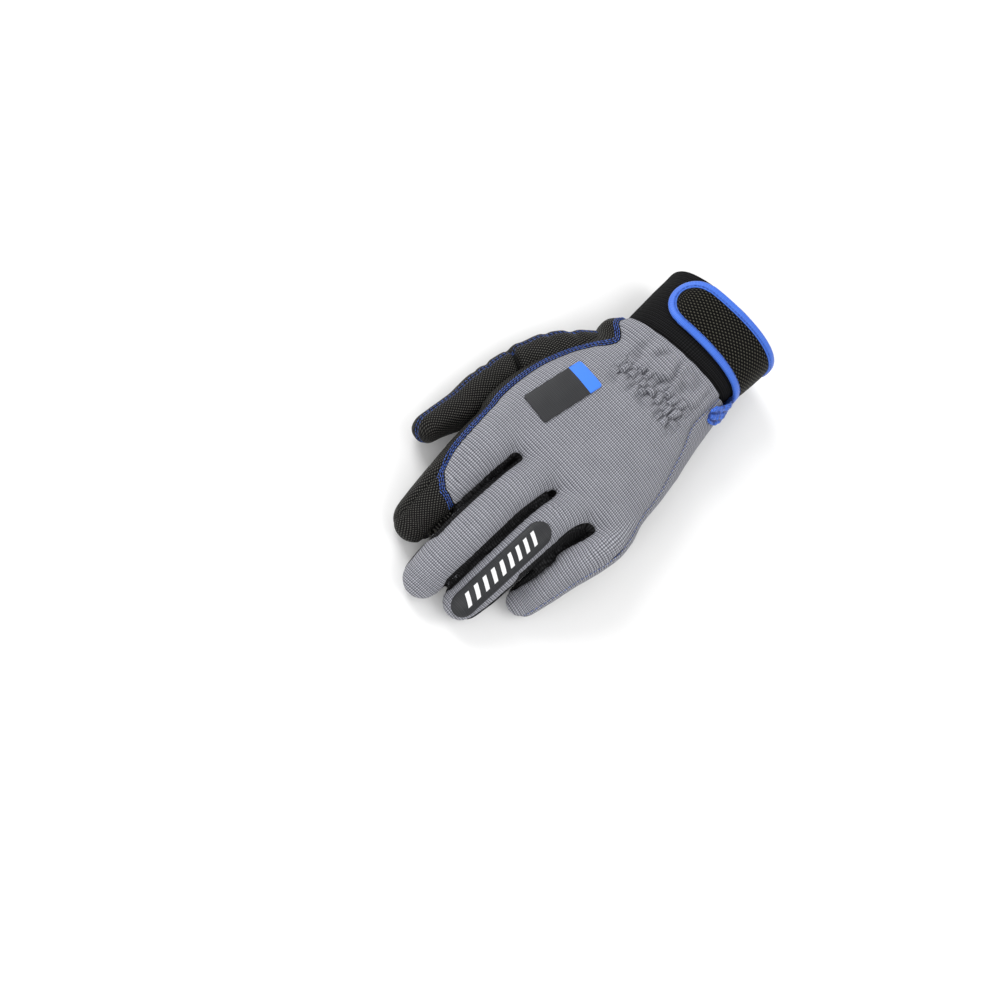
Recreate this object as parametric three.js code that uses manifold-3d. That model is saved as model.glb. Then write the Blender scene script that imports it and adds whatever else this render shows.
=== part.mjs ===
// A padded left-hand work glove, lying palm down on a surface as a worn-in glove does.
// Millimetres. +Y runs to the fingertips, +X to the thumb, +Z up through the back of the hand.
// The origin is the middle of the whole glove's box, on the surface that it rests on.
//
// Every hollow form is a loft: rounded sections along a centre line, read from short tables of shares.
// Each cloth panel is a sector of those lofts, cut hollow by the same lofts drawn one wall smaller.

import * as THREE from "three";
import { mergeVertices } from "three/addons/utils/BufferGeometryUtils.js";
import Module from "manifold-3d";

const wasm = await Module();
wasm.setup();

// Walls and gaps
const BACK_WALL = 2.2; // stretch knit with its lining
const PALM_WALL = 3.6; // padded palm
const SIDE_WALL = 2.4;
const CUFF_WALL = 2.8;
const SEAM_GAP = 0.3; // between panels that are sewn edge to edge
const SEAT_GAP = 0.3; // between a piece and what it lies on

// Hand of the glove
const PALM_LENGTH = 107; // wrist edge to the end of the webs
const PALM_BREADTH = 106;
const PALM_HEIGHT = 47; // resting surface to the back of the hand
const WRIST_Y = -32;
const SECTION_ROUND = 2.3; // 2 is an ellipse, more is squarer

// Palm sections. along: share of the palm length. thumbEdge, littleEdge, thumbSeam and littleSeam: share of
// half the breadth. top and bottom: share of the height. skew: how far the section leans along the thumb side.
const PALM_ROWS = [
  { along: 0.0, thumbEdge: 0.7, littleEdge: 0.68, thumbSeam: 0.655, littleSeam: 0.58, top: 1.0, bottom: 0.085, skew: 0.12 },
  { along: 0.09, thumbEdge: 0.8, littleEdge: 0.725, thumbSeam: 0.7, littleSeam: 0.575, top: 1.02, bottom: 0.02, skew: 0.07 },
  { along: 0.2, thumbEdge: 0.77, littleEdge: 0.775, thumbSeam: 0.55, littleSeam: 0.58, top: 0.96, bottom: -0.018, skew: 0 },
  { along: 0.32, thumbEdge: 0.82, littleEdge: 0.82, thumbSeam: 0.7, littleSeam: 0.68, top: 0.99, bottom: -0.022, skew: 0 },
  { along: 0.43, thumbEdge: 0.9, littleEdge: 0.87, thumbSeam: 0.81, littleSeam: 0.755, top: 1.0, bottom: 0.02, skew: 0 },
  { along: 0.58, thumbEdge: 0.98, littleEdge: 0.91, thumbSeam: 0.895, littleSeam: 0.85, top: 1.0, bottom: 0.13, skew: 0 },
  { along: 0.77, thumbEdge: 1.03, littleEdge: 0.955, thumbSeam: 0.94, littleSeam: 0.915, top: 0.99, bottom: 0.245, skew: 0.03 },
  { along: 0.89, thumbEdge: 1.02, littleEdge: 1.02, thumbSeam: 0.935, littleSeam: 0.96, top: 0.96, bottom: 0.31, skew: 0.05 },
  { along: 0.95, thumbEdge: 0.97, littleEdge: 1.0, thumbSeam: 0.9, littleSeam: 0.92, top: 0.91, bottom: 0.37, skew: 0.06 },
  { along: 1.0, thumbEdge: 0.88, littleEdge: 0.9, thumbSeam: 0.8, littleSeam: 0.85, top: 0.8, bottom: 0.48, skew: 0.06 },
];
const PALM_SEAM_LOW = 200; // degrees round the section where the outer side strip meets the palm
const PALM_STATIONS = [0, 0.1, 0.2, 0.26, 0.316, 0.38, 0.58, 0.74, 0.87, 0.95, 1];

// Elastic gathers across the back of the wrist
const GATHER_ALONG = 0.316; // share of the palm length
const GATHER_REACH = 7.5; // mm to each side of the elastic
const GATHER_HALF_WIDTH = 27;
const GATHER_PITCH = 9;
const GATHER_DEPTH = 1.1;

// Fingers. root is a point inside the palm, length runs along +Y, drop is how far the tip bends down.
// Rows: along is a share of the length, side of the width, drop of the drop, wide and thick of half the width
// and half the thickness. wrapTo, degrees round the section, is where the palm sheet ends up the index finger's side.
const FINGERS = [
  {
    name: "index", root: [36, 56, 30.5], length: 88, drop: 24.8, width: 26, thickness: 25.5,
    rows: [
      { along: 0.0, side: 0.0, drop: 0.0, wide: 1.05, thick: 0.92, wrapTo: 42 },
      { along: 0.18, side: 0.02, drop: 0.0, wide: 1.13, thick: 1.0, wrapTo: 40 },
      { along: 0.43, side: 0.0, drop: 0.05, wide: 1.08, thick: 0.98, wrapTo: 46 },
      { along: 0.58, side: -0.03, drop: 0.2, wide: 1.02, thick: 0.96, wrapTo: 54 },
      { along: 0.67, side: -0.05, drop: 0.36, wide: 0.98, thick: 0.95, wrapTo: 56 },
      { along: 0.86, side: -0.13, drop: 0.79, wide: 0.92, thick: 0.88, wrapTo: 50 },
      { along: 1.0, side: -0.23, drop: 1.0, wide: 0.86, thick: 0.84, wrapTo: 50 },
    ],
  },
  {
    name: "middle", root: [6, 56, 31], length: 106, drop: 25.6, width: 24, thickness: 25.5,
    rows: [
      { along: 0.0, side: 0.0, drop: 0.0, wide: 1.0, thick: 1.0 },
      { along: 0.15, side: 0.02, drop: 0.0, wide: 1.0, thick: 1.0 },
      { along: 0.38, side: 0.12, drop: 0.0, wide: 0.99, thick: 0.97 },
      { along: 0.6, side: 0.13, drop: 0.18, wide: 1.01, thick: 0.94 },
      { along: 0.78, side: 0.11, drop: 0.53, wide: 0.99, thick: 0.9 },
      { along: 0.9, side: 0.07, drop: 0.83, wide: 0.93, thick: 0.84 },
      { along: 1.0, side: 0.03, drop: 1.0, wide: 0.88, thick: 0.8 },
    ],
  },
  {
    name: "ring", root: [-21.5, 53, 30.5], length: 101, drop: 25.3, width: 23, thickness: 25,
    rows: [
      { along: 0.0, side: 0.0, drop: 0.0, wide: 1.0, thick: 1.0 },
      { along: 0.17, side: 0.09, drop: 0.0, wide: 1.0, thick: 1.0 },
      { along: 0.33, side: 0.23, drop: 0.0, wide: 0.97, thick: 0.97 },
      { along: 0.58, side: 0.24, drop: 0.18, wide: 1.0, thick: 0.94 },
      { along: 0.78, side: 0.25, drop: 0.54, wide: 0.98, thick: 0.9 },
      { along: 0.9, side: 0.28, drop: 0.83, wide: 0.92, thick: 0.84 },
      { along: 1.0, side: 0.31, drop: 1.0, wide: 0.86, thick: 0.8 },
    ],
  },
  {
    name: "little", root: [-43.5, 47, 28.5], length: 80, drop: 23.3, width: 20, thickness: 22.5,
    rows: [
      { along: 0.0, side: 0.0, drop: 0.0, wide: 0.55, thick: 0.8 },
      { along: 0.22, side: -0.08, drop: 0.0, wide: 0.95, thick: 0.98 },
      { along: 0.41, side: -0.02, drop: 0.05, wide: 1.02, thick: 0.98 },
      { along: 0.58, side: 0.14, drop: 0.24, wide: 1.02, thick: 0.95 },
      { along: 0.75, side: 0.26, drop: 0.55, wide: 0.97, thick: 0.9 },
      { along: 0.88, side: 0.34, drop: 0.84, wide: 0.9, thick: 0.86 },
      { along: 1.0, side: 0.42, drop: 1.0, wide: 0.84, thick: 0.82 },
    ],
  },
];
const WEB_WIDTH = 9;
const WEB_DEPTH = 9;
const WEB_HEIGHT = 6;
const FINGER_STATIONS = [0, 0.2, 0.38, 0.53, 0.67, 0.8];
const DOME_ANGLES = [0, 36, 66]; // degrees through the rounded tip
// Where the grey back of the index finger ends: shares of the finger's width and length from its root
const INDEX_SEAM_ROWS = [
  { across: 0.85, along: 0.45 },
  { across: 0.31, along: 0.474 },
  { across: 0.19, along: 0.606 },
  { across: 0.03, along: 0.652 },
  { across: -0.18, along: 0.686 },
  { across: -0.6, along: 0.699 },
  { across: -0.85, along: 0.7 },
];
const BACK_SEAM = 14; // degrees above the middle of the finger's side
const PALM_SEAM = 24; // degrees below it

// Thumb. The centre line is three sizes away from its root, and rows hold shares of them.
const THUMB = {
  root: [22, -14, 18], reach: 44, length: 116, drop: 5, width: 23, thickness: 28,
  rows: [
    { along: 0.0, side: 0.0, drop: -0.1, wide: 1.25, thick: 1.08 },
    { along: 0.16, side: 0.36, drop: 0.1, wide: 1.4, thick: 1.16 },
    { along: 0.28, side: 0.57, drop: 0.4, wide: 1.42, thick: 1.12 },
    { along: 0.35, side: 0.67, drop: 0.62, wide: 1.22, thick: 1.02 },
    { along: 0.48, side: 0.8, drop: 1.0, wide: 1.0, thick: 0.99 },
    { along: 0.62, side: 0.84, drop: 1.0, wide: 0.97, thick: 0.98 },
    { along: 0.75, side: 0.86, drop: 1.0, wide: 0.86, thick: 0.92 },
    { along: 0.88, side: 0.94, drop: 0.9, wide: 0.66, thick: 0.8 },
    { along: 1.0, side: 1.0, drop: 0.7, wide: 0.52, thick: 0.68 },
  ],
};
const THUMB_STATIONS = [0, 0.12, 0.22, 0.3, 0.38, 0.5, 0.65, 0.8];
const THUMB_SEAM = 35; // degrees round the section of the two seams that join its halves

// Cuff. top and bottom are shares of the palm height, wide of half the cuff width, along of the cuff length.
const CUFF_LENGTH = 41;
const CUFF_TUCK = 9; // the part sewn inside the wrist edge
const CUFF_WIDTH = 72;
const CUFF_ROWS = [
  { along: 0.0, wide: 1.0, top: 1.06, bottom: 0.05, skew: 0.08 },
  { along: 0.35, wide: 0.985, top: 1.045, bottom: 0.06, skew: 0.08 },
  { along: 0.7, wide: 0.965, top: 1.01, bottom: 0.09, skew: 0.1 },
  { along: 1.0, wide: 0.945, top: 0.965, bottom: 0.15, skew: 0.12 },
];
const PALM_SIDES = 40;
const HOLLOW_SIDES = { palm: 24, digit: 10 };
const CUFF_SIDES = HOLLOW_SIDES.palm; // the cuff nests in the palm's hollow, facet by facet

// Closing strap, wrapped on the cuff, with a bound edge
const STRAP_THICKNESS = 2.4;
const STRAP_WIDTH_END = 29.5; // at its rounded end, over the thumb side
const STRAP_WIDTH_ROOT = 34; // at the outer edge of the wrist
const STRAP_END_X = 29; // how far over the cuff the rounded end reaches
const STRAP_ROOT_ANGLE = 214; // degrees round the cuff where it is sewn down
const STRAP_INSET = 1.5; // from the cuff's open edge
const BINDING_WIDTH = 5.2;
const BINDING_THICKNESS = 3.6;
const STRAP_STEPS = 17;

// Bound edge of the vent at the outer side of the wrist, a tape that turns back on itself.
// round: degrees round the section. past: millimetres beyond the wrist edge.
const VENT_WIDTH = 5;
const VENT_THICKNESS = 2;
const VENT_ROWS = [
  { round: 205, past: -3 },
  { round: 203, past: 3 },
  { round: 193, past: 8 },
  { round: 178, past: 9.5 },
  { round: 161, past: 8.5 },
  { round: 149, past: 3.5 },
  { round: 147, past: -3 },
];

// Printed patches, thin and flexible
const PATCH_THICKNESS = 0.7;
const PATCH_STEPS = 12;
const BACK_PATCH = { length: 39.5, width: 18, x: 29.3, y: 36.6, turn: 9, corner: 1.5 };
const FINGER_PATCH = { length: 58, width: 12.5, y: 123 };

// Interpolates the named columns of a table at a share along it, through every row, without overshoot.
function sample(rows, along) {
  const last = rows.length - 1;
  let i = 0;
  while (i < last - 1 && along > rows[i + 1].along) i++;
  const [before, from, to, after] = [rows[Math.max(i - 1, 0)], rows[i], rows[i + 1], rows[Math.min(i + 2, last)]];
  const span = to.along - from.along;
  const t = (along - from.along) / span;
  const mixed = {};
  for (const key of Object.keys(from)) {
    const startSlope = (to[key] - before[key]) / (to.along - before.along);
    const endSlope = (after[key] - from[key]) / (after.along - from.along);
    mixed[key] =
      from[key] * (1 + 2 * t) * (1 - t) ** 2 +
      startSlope * span * t * (1 - t) ** 2 +
      to[key] * t * t * (3 - 2 * t) -
      endSlope * span * t * t * (1 - t);
  }
  mixed.along = along;
  return mixed;
}

const radians = (degrees) => (degrees * Math.PI) / 180;
const rounded = (value) => Math.sign(value) * Math.abs(value) ** (2 / SECTION_ROUND);

// A point of a section in its own plane, in millimetres, at an angle round it.
function rim(station, degrees) {
  const angle = radians(degrees);
  return new THREE.Vector2(station.a * rounded(Math.cos(angle)), station.b * rounded(Math.sin(angle)));
}

// A point of a section's plane in space.
function place(station, point) {
  return station.centre.clone().addScaledVector(station.side, point.x).addScaledVector(station.up, point.y);
}

// The angle round a section of half width a at which its upper rim passes over x, measured from its middle.
function angleOver(a, x) {
  const share = Math.min(Math.abs(x) / a, 0.995);
  const angle = THREE.MathUtils.radToDeg(Math.acos(share ** (SECTION_ROUND / 2)));
  return x >= 0 ? angle : 180 - angle;
}

// Turns a loop of sections into one closed mesh. The first point of each section is its hub, which the caps fan from.
function loft(sections) {
  const count = sections[0].length;
  const positions = sections.flat().flatMap((p) => [p.x, p.y, p.z]);
  const index = [];
  for (let i = 0; i + 1 < sections.length; i++) {
    for (let j = 0; j < count; j++) {
      const a = i * count + j;
      const b = i * count + ((j + 1) % count);
      index.push(a, a + count, b + count, a, b + count, b);
    }
  }
  const end = (sections.length - 1) * count;
  for (let j = 1; j + 1 < count; j++) {
    index.push(0, j, j + 1, end, end + j + 1, end + j);
  }
  const geometry = new THREE.BufferGeometry();
  geometry.setAttribute("position", new THREE.Float32BufferAttribute(positions, 3));
  geometry.setIndex(index);
  return geometry;
}

// A geometry as a solid that can be joined and cut.
function solid(geometry) {
  const bare = geometry.clone();
  bare.deleteAttribute("normal");
  bare.deleteAttribute("uv");
  const merged = mergeVertices(bare, 1e-4);
  const made = new wasm.Manifold(
    new wasm.Mesh({
      numProp: 3,
      vertProperties: new Float32Array(merged.attributes.position.array),
      triVerts: new Uint32Array(merged.index.array),
    }),
  );
  if (made.volume() <= 0) throw new Error("a loft is empty or inside out");
  return made;
}

const join = (...solids) => solids.reduce((all, next) => all.add(next));

// A whole tube along stations, with sides points round it.
function tube(stations, sides) {
  const angles = Array.from({ length: sides }, (_, j) => (360 * j) / sides);
  return solid(loft(stations.map((s) => angles.map((angle) => place(s, rim(s, angle))))));
}

// The part of a tube between two angles, as a wedge from the section's middle, half a seam gap smaller all round.
function sector(stations, fromAngle, toAngle, steps, { ripple = () => 0, half = SEAM_GAP / 2 } = {}) {
  return solid(
    loft(
      stations.map((s) => {
        const from = fromAngle(s);
        const span = toAngle(s) - from;
        const first = rim(s, from);
        const last = rim(s, from + span);
        const inFirst = new THREE.Vector2(-first.y, first.x).setLength(half);
        const inLast = new THREE.Vector2(last.y, -last.x).setLength(half);
        const open = (last.angle() - first.angle() + 2 * Math.PI) % (2 * Math.PI);
        const middle = first.angle() + open / 2;
        const hub = new THREE.Vector2(Math.cos(middle), Math.sin(middle)).multiplyScalar(half / Math.sin(open / 2));
        const points = [hub, first.clone().add(inFirst)];
        for (let j = 1; j < steps; j++) {
          const point = rim(s, from + (span * j) / steps);
          const placed = place(s, point);
          points.push(point.multiplyScalar(1 + ripple(placed, point) / point.length()));
        }
        points.push(last.clone().add(inLast));
        return points.map((point) => place(s, point));
      }),
    ),
  );
}

// Palm stations at shares of the palm length. grow moves the surface out; inner draws the hollow instead.
function palmStation(along, { grow = 0, inner = false } = {}) {
  const row = sample(PALM_ROWS, Math.max(along, 0));
  const half = PALM_BREADTH / 2;
  const thumbX = row.thumbEdge * half + grow - (inner ? SIDE_WALL : 0);
  const littleX = -row.littleEdge * half - grow + (inner ? SIDE_WALL : 0);
  const top = row.top * PALM_HEIGHT + grow - (inner ? BACK_WALL : 0);
  const bottom = (inner ? Math.max(row.bottom * PALM_HEIGHT, 0) + PALM_WALL : row.bottom * PALM_HEIGHT) - grow;
  const middleX = (thumbX + littleX) / 2;
  return {
    centre: new THREE.Vector3(middleX, WRIST_Y + along * PALM_LENGTH + row.skew * middleX, (top + bottom) / 2),
    side: new THREE.Vector3(1, row.skew, 0),
    up: new THREE.Vector3(0, 0, 1),
    a: (thumbX - littleX) / 2,
    b: (top - bottom) / 2,
    thumbSeam: angleOver((thumbX - littleX) / 2 - grow, row.thumbSeam * half - middleX),
    littleSeam: angleOver((thumbX - littleX) / 2 - grow, -row.littleSeam * half - middleX),
  };
}

// Stations of a finger or the thumb, with a rounded tip. grow moves the surface out; wall draws the hollow.
function digitStations(digit, shares, { grow = 0, inner = false } = {}) {
  const isThumb = digit === THUMB;
  const drift = isThumb ? digit.reach : digit.width;
  const at = (along) => {
    const row = sample(digit.rows, along);
    const centre = new THREE.Vector3(
      digit.root[0] + row.side * drift,
      digit.root[1] + along * digit.length,
      digit.root[2] - row.drop * digit.drop,
    );
    return { row, centre };
  };
  const lift = inner && !isThumb ? (PALM_WALL - BACK_WALL) / 2 : 0;
  const thin = inner ? SIDE_WALL : 0;
  const flat = inner ? (isThumb ? SIDE_WALL : (PALM_WALL + BACK_WALL) / 2) : 0;
  const last = sample(digit.rows, 1);
  const tipRadius = (last.wide * digit.width) / 2;
  const domeStart = 1 - tipRadius / digit.length;
  const reach = tipRadius - thin + grow;
  const stations = [...shares.filter((share) => share < domeStart - 0.02).map((share) => ({ along: share, scale: 1 }))];
  for (const angle of DOME_ANGLES) {
    stations.push({
      along: Math.min(domeStart + (reach * Math.sin(radians(angle))) / digit.length, 1.05),
      scale: Math.cos(radians(angle)),
    });
  }
  return stations.map(({ along, scale }) => {
    const { row, centre } = at(along);
    const step = 0.01;
    const tangent = at(along + step).centre.sub(at(along - step).centre).normalize();
    const side = new THREE.Vector3().crossVectors(tangent, new THREE.Vector3(0, 0, 1)).normalize();
    const up = new THREE.Vector3().crossVectors(side, tangent);
    const a = ((row.wide * digit.width) / 2 + grow - thin) * scale;
    const b = ((row.thick * digit.thickness) / 2 + grow - flat) * scale;
    return { centre: centre.addScaledVector(up, lift), side, up, a, b, along, wrapTo: row.wrapTo };
  });
}

// A prism between two heights over an outline in the XY plane.
function prism(shape, low, high) {
  const geometry = new THREE.ExtrudeGeometry(shape, { depth: high - low, bevelEnabled: false, curveSegments: 8 });
  return solid(geometry.translate(0, 0, low));
}

// A block between two corners.
function block(low, high) {
  const size = new THREE.Vector3().subVectors(high, low);
  const centre = new THREE.Vector3().addVectors(low, high).multiplyScalar(0.5);
  return solid(new THREE.BoxGeometry(size.x, size.y, size.z).translate(centre.x, centre.y, centre.z));
}

// The hollow that the hand fills
const palmInnerShares = [-0.02, 0.12, 0.26, 0.45, 0.65, 0.8, 0.91, 0.965];
const palmHollow = tube(palmInnerShares.map((share) => palmStation(share, { inner: true })), HOLLOW_SIDES.palm);
const innerShares = [0.06, 0.32, 0.5, 0.65, 0.8];
const fingerHollows = FINGERS.map((finger) => tube(digitStations(finger, innerShares, { inner: true }), HOLLOW_SIDES.digit));
const thumbInnerShares = [0.08, 0.2, 0.32, 0.5, 0.68, 0.84];
const thumbHollow = tube(digitStations(THUMB, thumbInnerShares, { inner: true }), HOLLOW_SIDES.digit);
const handHollow = join(palmHollow, ...fingerHollows, thumbHollow);

// Nothing reaches below the resting surface
const FAR = 400;
const ground = block(new THREE.Vector3(-FAR, -FAR, -FAR), new THREE.Vector3(FAR, FAR, 0));
const CRUMB = 2; // mm3, what two nearly equal surfaces leave behind when they are cut
const hollowed = (form) => {
  const bodies = form.subtract(handHollow).subtract(ground).decompose();
  return join(...bodies.filter((body) => body.volume() > CRUMB));
};

// Angles round a section at which the panels meet
const angle = (degrees) => () => degrees;
const backTo = 180 - BACK_SEAM;
const palmFrom = 180 + PALM_SEAM;
const palmTo = 360 - PALM_SEAM;
const thumbSeamAngle = (s) => s.thumbSeam;
const littleSeamAngle = (s) => s.littleSeam;

const palmStations = (grow = 0) => PALM_STATIONS.map((share) => palmStation(share, { grow }));
const fingerStations = (i, grow = 0) => digitStations(FINGERS[i], FINGER_STATIONS, { grow });
const [INDEX, MIDDLE, RING, LITTLE] = [0, 1, 2, 3];

// Each panel is drawn by a function whose spare makes it larger, to cut its room out of the next ones.
const ROOM = 0.97 * SEAM_GAP;
const halfGap = (spare) => ({ half: SEAM_GAP / 2 - spare });

// Gussets: black strips round the inner sides of neighbouring fingers, joined by the web between them
const webStart = WRIST_Y + PALM_LENGTH - WEB_DEPTH;
const webMiddle = (i) =>
  (FINGERS[i].root[0] - FINGERS[i].width / 2 + FINGERS[i + 1].root[0] + FINGERS[i + 1].width / 2) / 2;
function gussetForm(i, spare) {
  const beyond = block(new THREE.Vector3(-FAR, webStart - spare, -FAR), new THREE.Vector3(FAR, FAR, FAR));
  const reach = new THREE.Vector3(WEB_WIDTH / 2 + spare, WEB_DEPTH + spare, WEB_HEIGHT / 2 + spare);
  const webZ = (FINGERS[i].root[2] + FINGERS[i + 1].root[2]) / 2;
  const middle = new THREE.Vector3(webMiddle(i), WRIST_Y + PALM_LENGTH, webZ);
  const web = block(middle.clone().sub(reach), middle.clone().add(reach));
  return join(
    sector(fingerStations(i, spare), angle(backTo), angle(palmFrom), 3, halfGap(spare)).intersect(beyond),
    sector(fingerStations(i + 1, spare), angle(-PALM_SEAM), angle(BACK_SEAM), 3, halfGap(spare)).intersect(beyond),
    spare > 0 ? web : web.intersect(tube(palmStations(), PALM_SIDES)),
  );
}
const webs = [INDEX, MIDDLE, RING];
const gussets = webs.map((i) => hollowed(gussetForm(i, 0)));
const gussetRoom = join(...webs.map((i) => gussetForm(i, ROOM)));

// Outer side strip: grey knit down the outside of the hand and the little finger
function sideForm(spare) {
  const betweenFingers = block(
    new THREE.Vector3(webMiddle(RING) - WEB_WIDTH / 2 - SEAM_GAP + spare, webStart - SEAM_GAP + spare, -FAR),
    new THREE.Vector3(FAR, FAR, FAR),
  );
  const seam = halfGap(spare);
  return join(
    sector(palmStations(spare), littleSeamAngle, angle(PALM_SEAM_LOW), 5, seam).subtract(betweenFingers),
    sector(fingerStations(LITTLE, spare), angle(backTo - 8), angle(palmFrom), 4, seam),
  );
}
const sideStrip = hollowed(sideForm(0).subtract(gussetRoom));
const sideRoom = sideForm(ROOM);

// Ripples of the gathered back, strongest along the elastic and gone at its ends
const gatherY = WRIST_Y + GATHER_ALONG * PALM_LENGTH;
function gatherRipple(placed) {
  const across = Math.max(0, 1 - (placed.x / GATHER_HALF_WIDTH) ** 2);
  const along = Math.max(0, 1 - ((placed.y - gatherY) / GATHER_REACH) ** 2);
  return -GATHER_DEPTH * across * along * (1 + Math.cos((2 * Math.PI * placed.x) / GATHER_PITCH));
}

// The index finger's back, which is grey up to a rounded seam and a black cap beyond it
function indexBack(spare, capped) {
  const { root, width, length } = FINGERS[INDEX];
  const seam = INDEX_SEAM_ROWS.map(
    (row) => new THREE.Vector2(root[0] + row.across * width, root[1] + row.along * length),
  );
  const shift = capped ? SEAM_GAP / 2 - spare : -SEAM_GAP / 2 + spare;
  const far = capped ? root[1] + 2 * length : root[1] - length;
  const line = seam.map((p) => p.add(new THREE.Vector2(0, shift)));
  const corners = [new THREE.Vector2(line[0].x, far), ...line, new THREE.Vector2(line.at(-1).x, far)];
  const half = sector(fingerStations(INDEX, spare), (s) => s.wrapTo, angle(backTo), 6, halfGap(spare));
  return half.intersect(prism(new THREE.Shape(corners), -PALM_HEIGHT, 2 * PALM_HEIGHT));
}

// Back panel: the grey knit over the back of the hand and of four fingers
function backForm(spare) {
  const seam = halfGap(spare);
  return join(
    sector(palmStations(spare), thumbSeamAngle, littleSeamAngle, 24, { ...seam, ripple: gatherRipple }),
    indexBack(spare, false),
    sector(fingerStations(MIDDLE, spare), angle(BACK_SEAM), angle(backTo), 7, seam),
    sector(fingerStations(RING, spare), angle(BACK_SEAM), angle(backTo), 7, seam),
    sector(fingerStations(LITTLE, spare), angle(BACK_SEAM), angle(backTo - 8), 7, seam),
  );
}
const backPanel = hollowed(backForm(0).subtract(gussetRoom).subtract(sideRoom));
const backRoom = backForm(ROOM);

// Index tip: a cap of palm sheet over the end of the index finger's back
const indexTip = hollowed(indexBack(0, true).subtract(gussetRoom));

// Palm panel: padded textured sheet over the palm and the fingers' undersides, wrapped up the index finger's side
const palmSheet = join(
  sector(palmStations(), angle(PALM_SEAM_LOW), (s) => 360 + thumbSeamAngle(s), 18),
  sector(fingerStations(INDEX), angle(palmFrom), (s) => 360 + s.wrapTo, 11),
  sector(fingerStations(MIDDLE), angle(palmFrom), angle(palmTo), 6),
  sector(fingerStations(RING), angle(palmFrom), angle(palmTo), 6),
  sector(fingerStations(LITTLE), angle(palmFrom), angle(palmTo), 6),
);
const palmPanel = hollowed(
  palmSheet.subtract(gussetRoom).subtract(sideRoom).subtract(backRoom).subtract(indexBack(ROOM, true)),
);

// Thumb: two halves sewn to the side of the palm
const thumbStations = digitStations(THUMB, THUMB_STATIONS);
const palmClear = tube(palmStations(SEAM_GAP), PALM_SIDES);
const indexClear = tube(fingerStations(INDEX, SEAM_GAP), 22);
const thumbHalf = (from) =>
  sector(thumbStations, angle(from), angle(from + 180), 10)
    .subtract(thumbHollow)
    .subtract(palmClear)
    .subtract(indexClear)
    .subtract(ground);
const thumbBack = thumbHalf(THUMB_SEAM);
const thumbFront = thumbHalf(THUMB_SEAM + 180);

// Cuff: an elastic tube, tucked inside the wrist edge at its far end
const cuffEndY = WRIST_Y - CUFF_LENGTH;
function cuffStation(along, inset) {
  const row = sample(CUFF_ROWS, along);
  return {
    centre: new THREE.Vector3(0.5, cuffEndY + along * CUFF_LENGTH, ((row.top + row.bottom) / 2) * PALM_HEIGHT),
    side: new THREE.Vector3(1, row.skew, 0),
    up: new THREE.Vector3(0, 0, 1),
    a: (row.wide * CUFF_WIDTH) / 2 - inset,
    b: ((row.top - row.bottom) / 2) * PALM_HEIGHT - inset,
  };
}
const wristHollow = palmStation(0, { inner: true });
function tuckStation(share, inset) {
  const fit = palmStation((share * CUFF_TUCK) / PALM_LENGTH, { inner: true });
  return {
    ...wristHollow,
    centre: new THREE.Vector3(wristHollow.centre.x, fit.centre.y, wristHollow.centre.z),
    a: wristHollow.a - SEAT_GAP - inset,
    b: wristHollow.b - SEAT_GAP - inset,
  };
}
const cuffShares = [0, 0.25, 0.5, 0.75, 0.96];
const cuffTube = (inset, start) =>
  tube(
    [...cuffShares.map((share) => cuffStation(share, inset)), tuckStation(start, inset), tuckStation(1, inset)],
    CUFF_SIDES,
  );
const cuffHollow = tube(
  [
    cuffStation(-0.05, CUFF_WALL),
    ...cuffShares.slice(1).map((share) => cuffStation(share, CUFF_WALL)),
    tuckStation(0, CUFF_WALL),
    tuckStation(1.1, CUFF_WALL),
  ],
  CUFF_SIDES,
);
const cuff = cuffTube(0, -0.02).subtract(cuffHollow);

// Strap: a flat strip bent round the cuff, from its rounded end over the back to the outer side
const STRAP_RISE = SEAT_GAP + 0.4; // leaves room for the cuff's facets
const strapSections = 90;
function strapPath() {
  const middle = cuffStation(0.42, -STRAP_RISE);
  const endAngle = angleOver(middle.a, STRAP_END_X);
  const points = [];
  let run = 0;
  for (let i = 0; i <= strapSections; i++) {
    const degrees = endAngle + ((STRAP_ROOT_ANGLE - endAngle) * i) / strapSections;
    if (i > 0) run += rim(middle, degrees).distanceTo(rim(middle, points[i - 1].degrees));
    points.push({ degrees, run });
  }
  return points;
}
const strapRun = strapPath();
const strapLength = strapRun[strapSections].run;
function degreesAt(run) {
  const i = Math.max(1, strapRun.findIndex((p) => p.run >= run - 1e-9));
  const [before, after] = [strapRun[i - 1], strapRun[i]];
  return before.degrees + ((after.degrees - before.degrees) * (run - before.run)) / (after.run - before.run);
}

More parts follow.
